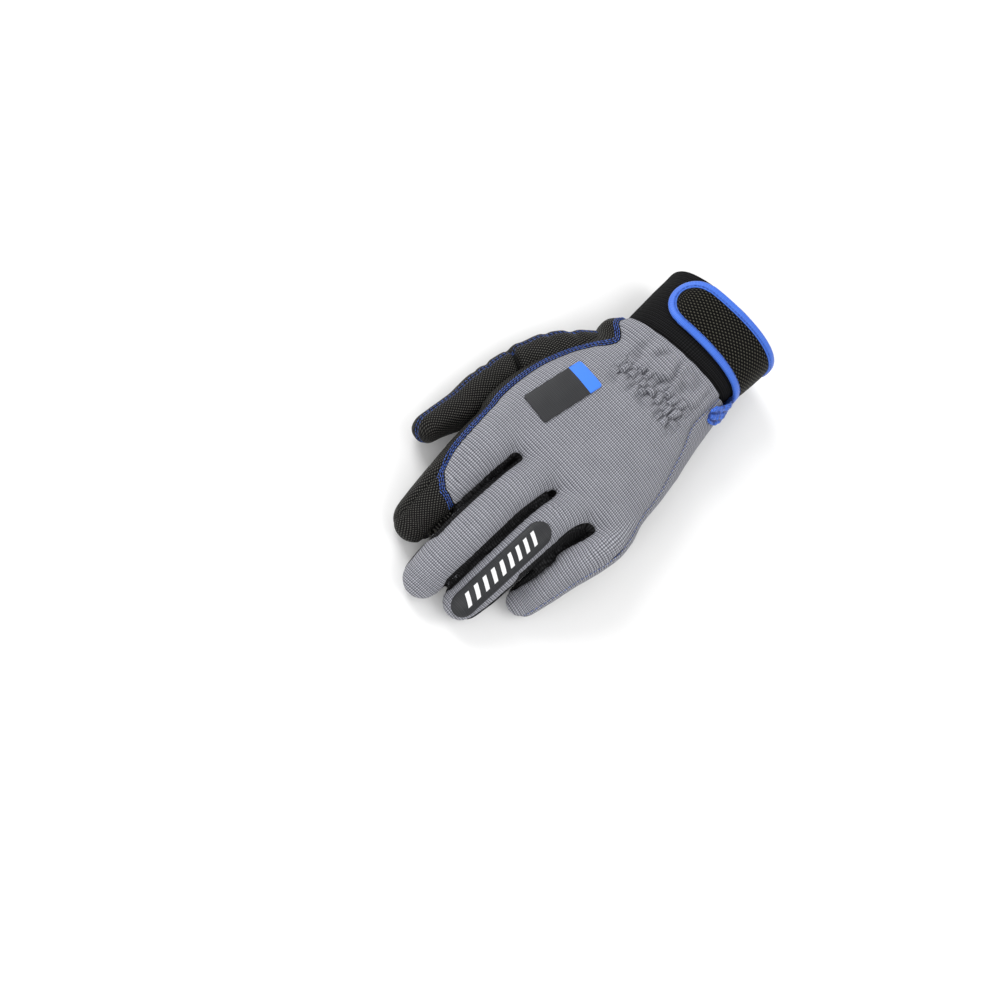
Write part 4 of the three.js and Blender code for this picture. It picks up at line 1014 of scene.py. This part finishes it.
# The cuff's far end runs inside the wrist: share of the palm's length, and mm inside the skin
TUCK_LENGTH, TUCK_RISE = 0.08, -2.9
MM_PER_DEGREE = 0.62
side_angles = np.linspace(0, 360, 181)[:-1]
outer_along = np.linspace(0.02, 0.97, 60)
tuck, wrist = (palm_sections(along, TUCK_RISE) for along in (np.linspace(0.0, TUCK_LENGTH, 8), np.zeros(8)))
tuck["a"], tuck["b"], tuck["c"][:, [0, 2]] = wrist["a"], wrist["b"], wrist["c"][:, [0, 2]]
walls = []
for inwards in (0, CUFF_WALL):
    tucked = {**tuck, "a": tuck["a"] - inwards, "b": tuck["b"] - inwards}
    open_part = rim(cuff_sections(outer_along, -inwards), side_angles)
    walls.append(np.concatenate([open_part, rim(tucked, side_angles)]))
outer, inner = walls
lip = []
for turn_at in np.linspace(0, math.pi, 9)[1:-1]:
    sec = cuff_sections(np.array([0.02 - 0.028 * math.sin(turn_at)]), -CUFF_WALL / 2 * (1 - math.cos(turn_at)))
    lip.append(rim(sec, side_angles)[0])
cuff_ring = np.concatenate([inner[::-1], np.array(lip)[::-1], outer])
c_rings, c_sides = cuff_ring.shape[:2]
c_points = cuff_ring.reshape(-1, 3)
c_quads = np.array(tube_faces(c_rings, c_sides, caps=False))
join_ends = [[(c_rings - 1) * c_sides + j, j, (j + 1) % c_sides, (c_rings - 1) * c_sides + (j + 1) % c_sides]
             for j in range(c_sides)]
c_uv = np.stack([np.tile(side_angles * MM_PER_DEGREE, c_rings),
                 np.repeat(run_lengths(cuff_ring[:, 0]), c_sides)], 1)
c_normal = vertex_normals(c_points, halves(c_quads))
c_wave = 0.35 * ripple(c_points, 14.0, 4.4)
points_out = np.sign((c_normal * (c_points - c_points.mean(0))).sum(1))
c_points = c_points + c_normal * c_wave[:, None] * points_out[:, None]
cuff_piece = add_object("cuff_rib", c_points, c_quads.tolist() + join_ends, c_uv)
outward(cuff_piece)
cuff_piece.data.materials.append(cuff_knit)
settle(cuff_piece, "cuff_knit", "cuff")
print("cuff", len(c_points), "points")

# %% [markdown]
# The strap closes over the back of the wrist. It is a flat strip of dotted webbing with a bright tape
# folded over its edge and round its end. Both are laid on the cuff by angle and height, so they follow
# its curve.

# %% Lengths and heights on the cuff
STRAP_WIDTH_END, STRAP_WIDTH_ROOT = 29.5, 34
STRAP_END_X, STRAP_ROOT_ANGLE, STRAP_INSET = 27.5, 214, 1.5
TAPE_WIDTH, TAPE_THICK, STRAP_THICK, RISE = 4.7, 3.0, 2.2, 0.7
# The share of the cuff's length on which the strap's length is measured
STRAP_LINE = 0.42

strap_turn = np.linspace(0, 1, 400)
mid_sec = cuff_sections(np.array([STRAP_LINE]), RISE)
end_share = STRAP_END_X / mid_sec["a"][0]
end_angle = math.degrees(math.acos(end_share ** (ROUND / 2)))
strap_angles = end_angle + (STRAP_ROOT_ANGLE - end_angle) * strap_turn
strap_line = rim(mid_sec, strap_angles)[0]
strap_run = run_lengths(strap_line)
STRAP_LENGTH = strap_run[-1]


def on_cuff(runs, ys, rise):
    """Points over the cuff, at lengths from the strap's end and heights along the hand."""
    angles = np.interp(runs, strap_run, strap_angles)
    out = np.empty((len(runs), 3))
    for i, (angle, yy) in enumerate(zip(angles, ys)):
        sec = cuff_sections(np.array([(yy - cuff_end) / CUFF_LENGTH]), rise)
        out[i] = rim(sec, angle)[0, 0]
    return out


def strap_middle(run):
    width = STRAP_WIDTH_END + (STRAP_WIDTH_ROOT - STRAP_WIDTH_END) * run / STRAP_LENGTH
    return cuff_end + STRAP_INSET + width / 2, width


print("strap", round(STRAP_LENGTH), "mm long over the wrist")


# %% [markdown]
# A tape is one profile carried along a line. The curve tools could bevel it, but they would turn it
# about its line; here the surface under the line says which way is out at every point.

# %% Carry a profile along a line
def line_frame(centre, normal):
    """The direction across a line that lies on a surface, at each of its points."""
    along = np.gradient(centre, axis=0)
    across = np.cross(along, normal)
    return across / np.linalg.norm(across, axis=1)[:, None]


def sweep(name, centre, normal, profile, material, slot, node, widths=1.0, crumple=0.0):
    """A profile of (across, out) points carried along a line that lies on a surface."""
    across = line_frame(centre, normal)
    widths = np.broadcast_to(widths, len(centre))[:, None, None]
    ring = (centre[:, None] + widths * profile[None, :, :1] * across[:, None]
            + profile[None, :, 1:] * normal[:, None])
    if crumple:
        flat_ring = ring.reshape(-1, 3)
        waves = ripple(flat_ring, 2.6, 7.7) * crumple * np.clip(np.tile(profile[:, 1], len(ring)), 0, 1)
        ring = (flat_ring + waves[:, None] * np.repeat(normal, len(profile), 0)).reshape(ring.shape)
    uv = np.stack([np.tile(run_lengths(profile), len(ring)), np.repeat(run_lengths(centre), len(profile))], 1)
    obj = add_object(name, ring.reshape(-1, 3), tube_faces(len(ring), len(profile)), uv)
    outward(obj)
    obj.data.materials.append(material)
    return settle(obj, slot, node)


def surface_normals(low, high):
    out = high - low
    return out / np.linalg.norm(out, axis=1)[:, None]


# %% Tape round the strap's edge
inset = TAPE_WIDTH / 2
turn_radius = STRAP_WIDTH_END / 2 - inset
straight = np.linspace(STRAP_LENGTH, STRAP_WIDTH_END / 2, 90)
bend = np.linspace(-90, 90, 40)[1:-1]
round_end = STRAP_WIDTH_END / 2 - turn_radius * np.cos(np.radians(bend))
edge_runs = np.concatenate([straight, round_end, straight[::-1]])
middles, widths = strap_middle(edge_runs)
across_share = np.concatenate([-np.ones(90), np.sin(np.radians(bend)), np.ones(90)])
reach_across = np.where(np.abs(across_share) < 1, turn_radius, widths / 2 - inset)
edge_ys = middles + across_share * reach_across
tape_low = on_cuff(edge_runs, edge_ys, RISE - 0.2)
tape_high = on_cuff(edge_runs, edge_ys, RISE + 1.8)
t = np.linspace(0, 2 * math.pi, 49)[:-1]
shape = np.stack([bent(np.cos(t), 0.7) * TAPE_WIDTH / 2,
                  TAPE_THICK / 2 + bent(np.sin(t), 0.8) * TAPE_THICK / 2], 1)
GROOVE = 1.5
shape[:, 1] -= 0.5 * bell(shape[:, 0] - GROOVE, 0.45) * (shape[:, 1] > TAPE_THICK / 2)
tape_normal = surface_normals(tape_low, tape_high)
tape_across = line_frame(tape_low, tape_normal)
inward = on_cuff(edge_runs + 0.5, middles, RISE) - tape_low
if (tape_across * inward).sum() < 0:
    shape[:, 0] = -shape[:, 0]
    tape_across = -tape_across
sweep("strap_tape", tape_low, tape_normal, shape, blue_tape, "blue_tape", "strap_binding")
tape_seam = tape_low + tape_across * GROOVE + tape_normal * (TAPE_THICK - 0.3)
print("tape", round(run_lengths(tape_low)[-1]), "mm long")

# %% [markdown]
# The strap's face is a grid over the cuff, thin at its sides where the tape covers it.

# %% Face of the strap
FACE_EDGE = TAPE_WIDTH - 0.9
end_radius = STRAP_WIDTH_END / 2
face_runs = np.concatenate([np.linspace(TAPE_WIDTH - 0.8, end_radius, 26),
                            np.linspace(end_radius, STRAP_LENGTH, 90)[1:]])
lanes = np.linspace(-1, 1, 25)
layers = []
for lift in (0.0, STRAP_THICK):
    rows = []
    for run_at in face_runs:
        middle, width = strap_middle(run_at)
        into = max(end_radius - run_at, 0) / (end_radius - FACE_EDGE)
        round_off = math.sqrt(max(1 - into ** 2, 0.0004))
        crown = lift * (1 - 0.25 * np.abs(lanes) ** 4)
        ys = middle + (width / 2 - FACE_EDGE) * round_off * lanes
        rows.append(np.stack([on_cuff([run_at], [yy], RISE + h)[0] for yy, h in zip(ys, crown)]))
    layers.append(np.array(rows))
low_grid, high_grid = layers
n_rows, n_lanes = low_grid.shape[:2]
strap_ring = np.concatenate([low_grid, high_grid[:, ::-1]], 1)
ys_flat = np.concatenate([lanes, lanes[::-1]]) * 12
strap_uv = np.stack([np.tile(ys_flat, n_rows), np.repeat(face_runs, 2 * n_lanes)], 1)
strap_piece = add_object("strap_face", strap_ring.reshape(-1, 3), tube_faces(n_rows, 2 * n_lanes), strap_uv)
outward(strap_piece)
strap_piece.data.materials.append(strap_web)
settle(strap_piece, "strap_web", "strap")
print("strap face", n_rows, "by", 2 * n_lanes, "points")

# %% [markdown]
# At the outer side of the wrist the same tape binds the vent and folds back on itself in a short
# crumpled tongue.

# %% Vent tape
# degrees round the wrist, mm past it
VENT = np.array([[181, -4], [173, 1], [162, 6], [151, 10.5], [143, 13]], float)
VENT_HALF, VENT_RISE = 5.4, 1.1


def on_wrist(degrees, past, rise):
    out = []
    for deg, p in zip(degrees, past):
        share = smoothstep(np.array([p]), -4.5, 0)[0]
        wrist = palm_sections(np.array([max(p, 0) / PALM_LENGTH]), rise)
        under = cuff_sections(np.array([1.0]), rise)
        sec = {**wrist, **{key: under[key] * (1 - share) + wrist[key] * share for key in "ab"}}
        sec["c"][:, 1] = WRIST_Y + p
        out.append(rim(sec, deg)[0, 0])
    return np.array(out)


def through(points, count):
    """A smooth line through a few points."""
    at = np.linspace(0, len(points) - 1, count)
    i = np.clip(at.astype(int), 0, len(points) - 2)
    f = (at - i)[:, None]
    p = [points[np.clip(i + k, 0, len(points) - 1)] for k in (-1, 0, 1, 2)]
    return 0.5 * (2 * p[1] + (p[2] - p[0]) * f + (2 * p[0] - 5 * p[1] + 4 * p[2] - p[3]) * f ** 2
                  + (3 * p[1] - 3 * p[2] + p[3] - p[0]) * f ** 3)


vent_line = through(VENT, 70)
vent_low, vent_high = (on_wrist(vent_line[:, 0], vent_line[:, 1], rise) for rise in (0.3, 2.3))
vent_turn = np.linspace(0, 2 * math.pi, 73)[:-1]
vent_shape = np.stack([np.cos(vent_turn) * VENT_HALF, VENT_RISE * (1 + bent(np.sin(vent_turn), 0.5))], 1)
# Two creases run down the tongue; they sink the profile and also carry painted shade.
tape_creases_and_shade = sum(bell(vent_shape[:, 0] - at, 0.6) for at in (-2.9, 1.6)) * (vent_shape[:, 1] > 1)
vent_shape[:, 1] -= 1.3 * tape_creases_and_shade
vent_widths = np.interp(np.linspace(0, 1, 70), [0, 0.15, 0.45, 0.8, 0.94, 1], [1.2, 1.2, 1.12, 1.0, 0.75, 0.4])
vent_piece = sweep("vent_edge", vent_low, surface_normals(vent_low, vent_high), vent_shape, tape_with_painted_shade,
                   "blue_tape", "vent_tape", vent_widths, 1.3)
v_points = mesh_arrays(vent_piece.data)[0]
# Painted shade: the vent's creases and soft random patches are darkened in colour.
vent_painted_shade = np.tile(tape_creases_and_shade, len(vent_line)) + 0.9 * smoothstep(ripple(v_points, 3.4, 9.2), 0.05, 0.45)
shade_creases(vent_piece, np.clip(vent_painted_shade, 0, 1))

# %% [markdown]
# Two thin dark films are printed on the knit, one on the back of the hand and one along a finger.
# Rays from above find the cloth under each, so a film lies on its folds.

# %% Printed films
under_film = BVHTree.FromPolygons(skin.tolist(), skin_tris.tolist())


def film(name, centre, length, width, turn, corner, material, node):
    rows, lanes, lift = 70, 21, 0.25
    shares = 0.5 - 0.5 * np.cos(np.linspace(0.02, math.pi - 0.02, rows))
    points, uv = [], []
    c, s = math.cos(math.radians(turn)), math.sin(math.radians(turn))
    for share in shares:
        v = (share - 0.5) * length
        into = max(abs(v) - (length / 2 - corner), 0)
        half = width / 2 - corner + math.sqrt(max(corner ** 2 - into ** 2, 0.0))
        for lane in np.linspace(-1, 1, lanes):
            u = lane * half
            px, py = centre[0] + u * c + v * s, centre[1] - u * s + v * c
            hit, normal_at, _, _ = under_film.ray_cast(Vector((px, py, 80)), Vector((0, 0, -1)))
            points.append(np.array(hit) + lift * np.array(normal_at))
            uv.append((u, v))
    obj = add_object(name, points, tube_faces(rows, lanes, caps=False, wrap=False), uv)
    if obj.data.polygons[0].normal.z < 0:
        obj.data.flip_normals()
    obj.data.materials.append(material)
    add_wall(obj, "film", 0.5, 1)
    return settle(obj, "print_film", node)


def film_finish(name, mark):
    """Dark film with a fine grain. mark(calc, u, v) gives a mask, and the colour that it paints."""
    mat = finish(name, (0.012, 0.0125, 0.014), (0.026, 0.027, 0.03), 0.5, KNIT, 0.85, 0.25, 0.08, specular=0.3)
    tree = mat.node_tree
    paint_in = tree.nodes["Principled BSDF"].inputs["Base Color"]
    place = next(n for n in tree.nodes if n.bl_idname == "ShaderNodeTexCoord").outputs
    parts = add_node(tree, "ShaderNodeSeparateXYZ", {0: place["UV"]}).outputs
    mask, paint = mark(partial(math_node, tree), parts[0], parts[1])
    under = paint_in.links[0].from_socket
    mix = add_node(tree, "ShaderNodeMix", data_type="RGBA")
    tree.links.new(mask, mix.inputs["Factor"])
    tree.links.new(under, mix.inputs["A"])
    mix.inputs["B"].default_value = (*paint, 1)
    tree.links.new(mix.outputs["Result"], paint_in)
    return mat


def blue_end(calc, u, v):
    return calc("LESS_THAN", v, -0.115), (0.045, 0.19, 0.78)


def slanted_bars(calc, u, v):
    leaning = calc("MULTIPLY_ADD", u, 0.45, v)
    bars = calc("LESS_THAN", calc("FRACT", calc("DIVIDE", leaning, 0.052)), 0.42)
    middle = calc("LESS_THAN", calc("ABSOLUTE", u), 0.032)
    inside = calc("LESS_THAN", calc("ABSOLUTE", calc("SUBTRACT", leaning, 0.011)), 0.234)
    return calc("MULTIPLY", calc("MULTIPLY", bars, middle), inside), (0.75, 0.75, 0.76)


film("back_film", (29.3, 36.6), 39.5, 18, 9, 1.5, film_finish("back_film_print", blue_end), "back_patch")
ring_sec = finger_secs["ring"]
ring_x = float(np.interp(121, ring_sec["c"][:, 1], ring_sec["c"][:, 0])) - 0.6
film("finger_film", (ring_x, 124), 60, 12.5, 0, 6.2, film_finish("finger_film_print", slanted_bars),
     "finger_patch")

# %% [markdown]
# The seams are topstitched in blue. A seam's line is where the distance to it has one value all over
# the skin, so walking that line through the triangles gives the path of the thread.

# %% Lines on the skin
SHORTEST_SEAM = 8.0


def slope(points, tris, field):
    """The field over its own steepness, which is the true distance near the line where it is nought."""
    a, b, c = points[tris[:, 0]], points[tris[:, 1]], points[tris[:, 2]]
    face = np.cross(b - a, c - a)
    twice = np.maximum((face ** 2).sum(1), 1e-9)[:, None]
    fa, fb, fc = (field[tris[:, k]][:, None] for k in range(3))
    grad = (fa * np.cross(face, c - b) + fb * np.cross(face, a - c) + fc * np.cross(face, b - a)) / twice
    total = np.zeros(len(points))
    count = np.zeros(len(points))
    size = np.linalg.norm(grad, axis=1)
    for k in range(3):
        np.add.at(total, tris[:, k], size)
        np.add.at(count, tris[:, k], 1)
    return field / np.clip(total / np.maximum(count, 1), 0.5, 3.0)


def level_lines(points, tris, field, level, allowed):
    """Open or closed lines through the triangles where the field has that value."""
    above = field > level
    mixed = (above[tris].sum(1) % 3 != 0) & allowed[tris].all(1)
    crossed = tris[mixed]
    links, place = {}, {}
    for tri in crossed.tolist():
        ends = []
        for i, j in ((tri[0], tri[1]), (tri[1], tri[2]), (tri[2], tri[0])):
            if above[i] != above[j]:
                key = (min(i, j), max(i, j))
                if key not in place:
                    share = (level - field[key[0]]) / (field[key[1]] - field[key[0]])
                    place[key] = points[key[0]] * (1 - share) + points[key[1]] * share
                ends.append(key)
        links.setdefault(ends[0], []).append(ends[1])
        links.setdefault(ends[1], []).append(ends[0])
    lines, seen = [], set()
    starts = [k for k, v in links.items() if len(v) == 1] + list(links)
    for start in starts:
        if start in seen:
            continue
        chain, here = [start], start
        seen.add(start)
        while True:
            ahead = [k for k in links[here] if k not in seen]
            if not ahead:
                break
            here = ahead[0]
            seen.add(here)
            chain.append(here)
        line = np.array([place[k] for k in chain])
        for _ in range(6):
            line[1:-1] = (line[:-2] + 2 * line[1:-1] + line[2:]) / 4
        if len(line) > 4 and np.linalg.norm(np.diff(line, axis=0), axis=1).sum() > SHORTEST_SEAM:
            lines.append(line)
    return lines


# %% [markdown]
# Separate stitches could be copied by hand or by an array. A small Geometry Nodes tree is shorter: it
# puts points along the line at one pitch, and a bead of thread on each.

# %% Lay stitches along a line
def stitch_tree():
    """Lays one stitch every Pitch along a curve: a small bead of thread, turned along the seam."""
    tree = bpy.data.node_groups.new("stitches", "GeometryNodeTree")
    tree.interface.new_socket("Geometry", in_out="INPUT", socket_type="NodeSocketGeometry")
    for label, value in (("Pitch", 0.003), ("Length", 0.0024), ("Thickness", 0.0006)):
        socket = tree.interface.new_socket(label, in_out="INPUT", socket_type="NodeSocketFloat")
        socket.default_value = value
    tree.interface.new_socket("Thread", in_out="INPUT", socket_type="NodeSocketMaterial")
    tree.interface.new_socket("Geometry", in_out="OUTPUT", socket_type="NodeSocketGeometry")
    given, result = tree.nodes.new("NodeGroupInput").outputs, tree.nodes.new("NodeGroupOutput")
    places = add_node(tree, "GeometryNodeCurveToPoints", {
        "Curve": given["Geometry"], "Length": given["Pitch"]}, mode="LENGTH").outputs
    bead = add_node(tree, "GeometryNodeMeshUVSphere", {"Segments": 6, "Rings": 5, "Radius": 0.5})
    size = add_node(tree, "ShaderNodeCombineXYZ", {
        0: given["Thickness"], 1: given["Thickness"], 2: given["Length"]})
    turn = add_node(tree, "FunctionNodeAlignRotationToVector", {"Vector": places["Tangent"]}, axis="Z")
    lay = add_node(tree, "GeometryNodeInstanceOnPoints", {
        "Points": places["Points"], "Instance": bead.outputs["Mesh"], "Rotation": turn.outputs["Rotation"],
        "Scale": size.outputs[0]})
    real = add_node(tree, "GeometryNodeRealizeInstances", {0: lay.outputs[0]})
    smooth = add_node(tree, "GeometryNodeSetShadeSmooth", {0: real.outputs[0]})
    paint = add_node(tree, "GeometryNodeSetMaterial", {0: smooth.outputs[0], "Material": given["Thread"]})
    tree.links.new(paint.outputs[0], result.inputs[0])
    return tree


STITCHES = stitch_tree()


def sew(name, lines, pitch, length, thickness):
    """Stitches along lines, as one plain mesh."""
    curve = bpy.data.curves.new(name, "CURVE")
    curve.dimensions = "3D"
    for line in lines:
        spline = curve.splines.new("POLY")
        spline.points.add(len(line) - 1)
        at = np.concatenate([to_row(line), np.ones((len(line), 1))], 1)
        spline.points.foreach_set("co", at.ravel())
    drawn = bpy.data.objects.new(name + "_line", curve)
    bpy.context.scene.collection.objects.link(drawn)
    modifier = drawn.modifiers.new("stitches", "NODES")
    modifier.node_group = STITCHES
    sockets = {item.name: item.identifier for item in STITCHES.interface.items_tree if item.in_out == "INPUT"}
    for label, value in {"Pitch": pitch, "Length": length, "Thickness": thickness}.items():
        modifier[sockets[label]] = value / 1000
    modifier[sockets["Thread"]] = blue_thread
    mesh = bpy.data.meshes.new_from_object(drawn.evaluated_get(bpy.context.evaluated_depsgraph_get()))
    bpy.data.objects.remove(drawn)
    obj = bpy.data.objects.new(name, mesh)
    bpy.context.scene.collection.objects.link(obj)
    if not mesh.materials:
        mesh.materials.append(blue_thread)
    print(name, len(lines), "lines,", len(mesh.polygons), "faces")
    return settle(obj, "blue_tape")


# %% [markdown]
# Three rows hold the grey back's edge by the index finger, and single rows run beside the other seams.

# %% Sew the seams
skin_where = {name: data[:, col[name]] for name in COLUMNS}
field_back = round_min(skin_where["back"], -skin_where["tip"], 5.0)
dist_back = slope(skin, skin_tris, field_back)
inner_border = (skin_where["digit"] == 0) & (skin[:, 0] > 12) & (skin_where["wrist"] > WRIST_TRIM + 0.5)
inner_border &= (skin_where["gusset"] < -2.2) | (skin[:, 1] < 60)
border_lines = []
for level in (-0.9, -1.9, -3.0):
    border_lines += level_lines(skin, skin_tris, dist_back, level, inner_border)
sew("border_stitches", border_lines, 2.1, 1.9, 0.5)
sew("tape_stitches", [tape_seam], 2.2, 1.9, 0.4)
outer_border = (skin[:, 0] < -24) & (skin_where["wrist"] > WRIST_TRIM + 0.5) & (skin_where["strip"] > -6)
sew("outer_stitches", level_lines(skin, skin_tris, dist_back, -0.9, outer_border), 2.6, 1.9, 0.32)
dist_gusset = slope(skin, skin_tris, skin_where["gusset"])
under = (skin[:, 2] < 26) & (skin[:, 1] > 66) & (skin_where["back"] < -3) & (skin_where["strip"] < -1)
sew("finger_stitches", level_lines(skin, skin_tris, dist_gusset, -1.3, under), 2.5, 2.0, 0.42)
thumb_seam, outside_palm = thumb_open[2][:, 3], thumb_open[2][:, 2]
thumb_border = (np.abs(thumb_seam) < 5) & (outside_palm > 0.6)
thumb_lines = [line for level in (1.3, -1.3)
               for line in level_lines(*thumb_open[:2], thumb_seam, level, thumb_border)]
sew("thumb_stitches", thumb_lines, 2.5, 2.0, 0.42)

# %% [markdown]
# The palm and the thumb are padded, and the grey back is a sheet of knit stretched over the hand.

# %% [markdown]
# The camera stands where the photograph's did: high over the fingers, with a long lens, and the
# glove's fingers pointing down to the left. The studio is a plain pale floor and large soft lights.

# %% Camera
LEAN = math.radians(24)
to_camera = Vector((0, math.sin(LEAN), math.cos(LEAN)))
down_hand = Vector((0, math.cos(LEAN), -math.sin(LEAN)))
right = (-0.68 * Vector((1, 0, 0)) - 0.733 * down_hand).normalized()
picture_up = to_camera.cross(right).normalized()
AIM = Vector((0.0015, 0.0505, 0.0187))
FRAME_WIDTH = 0.525
lens_data = bpy.data.cameras.new("camera")
lens_data.lens = 100
lens_data.sensor_width = 36
distance = FRAME_WIDTH * lens_data.lens / lens_data.sensor_width
camera = bpy.data.objects.new("camera", lens_data)
camera.matrix_world = Matrix((
    (*right, 0), (*picture_up, 0), (*to_camera, 0), (0, 0, 0, 1))).transposed()
camera.location = AIM + to_camera * distance
bpy.context.scene.collection.objects.link(camera)
bpy.context.scene.camera = camera
print("camera at", [round(v, 3) for v in camera.location])

# %% Floor and lights
floor_mesh = bpy.data.meshes.new("floor")
floor_mesh.from_pydata([(-4, -4, 0), (4, -4, 0), (4, 4, 0), (-4, 4, 0)], [], [(0, 1, 2, 3)])
floor = bpy.data.objects.new("floor", floor_mesh)
bpy.context.scene.collection.objects.link(floor)
floor.data.materials.append(finish("floor_paper", (0.86, 0.86, 0.86), (0.88, 0.88, 0.88), 0.8, blotch=0.05))


GLOVE_MIDDLE = Vector((0, 0, 0.02))


def soft_light(name, place, size, power):
    light = bpy.data.lights.new(name, "AREA")
    light.shape = "DISK"
    light.size = size
    light.energy = power
    obj = bpy.data.objects.new(name, light)
    obj.location = place
    obj.rotation_euler = (Vector(place) - GLOVE_MIDDLE).to_track_quat("Z", "Y").to_euler()
    bpy.context.scene.collection.objects.link(obj)


soft_light("key", (1.15, -0.3, 1.0), 0.9, 15)
soft_light("fill", (-0.9, -0.3, 1.5), 1.4, 10)
soft_light("front", (-0.1, 1.5, 1.0), 1.0, 12)
world = bpy.data.worlds.new("studio")
bpy.context.scene.world = world
world.use_nodes = True
world.node_tree.nodes["Background"].inputs[0].default_value = (1, 1, 1, 1)
world.node_tree.nodes["Background"].inputs[1].default_value = 0.68
bpy.context.scene.view_settings.view_transform = "Standard"
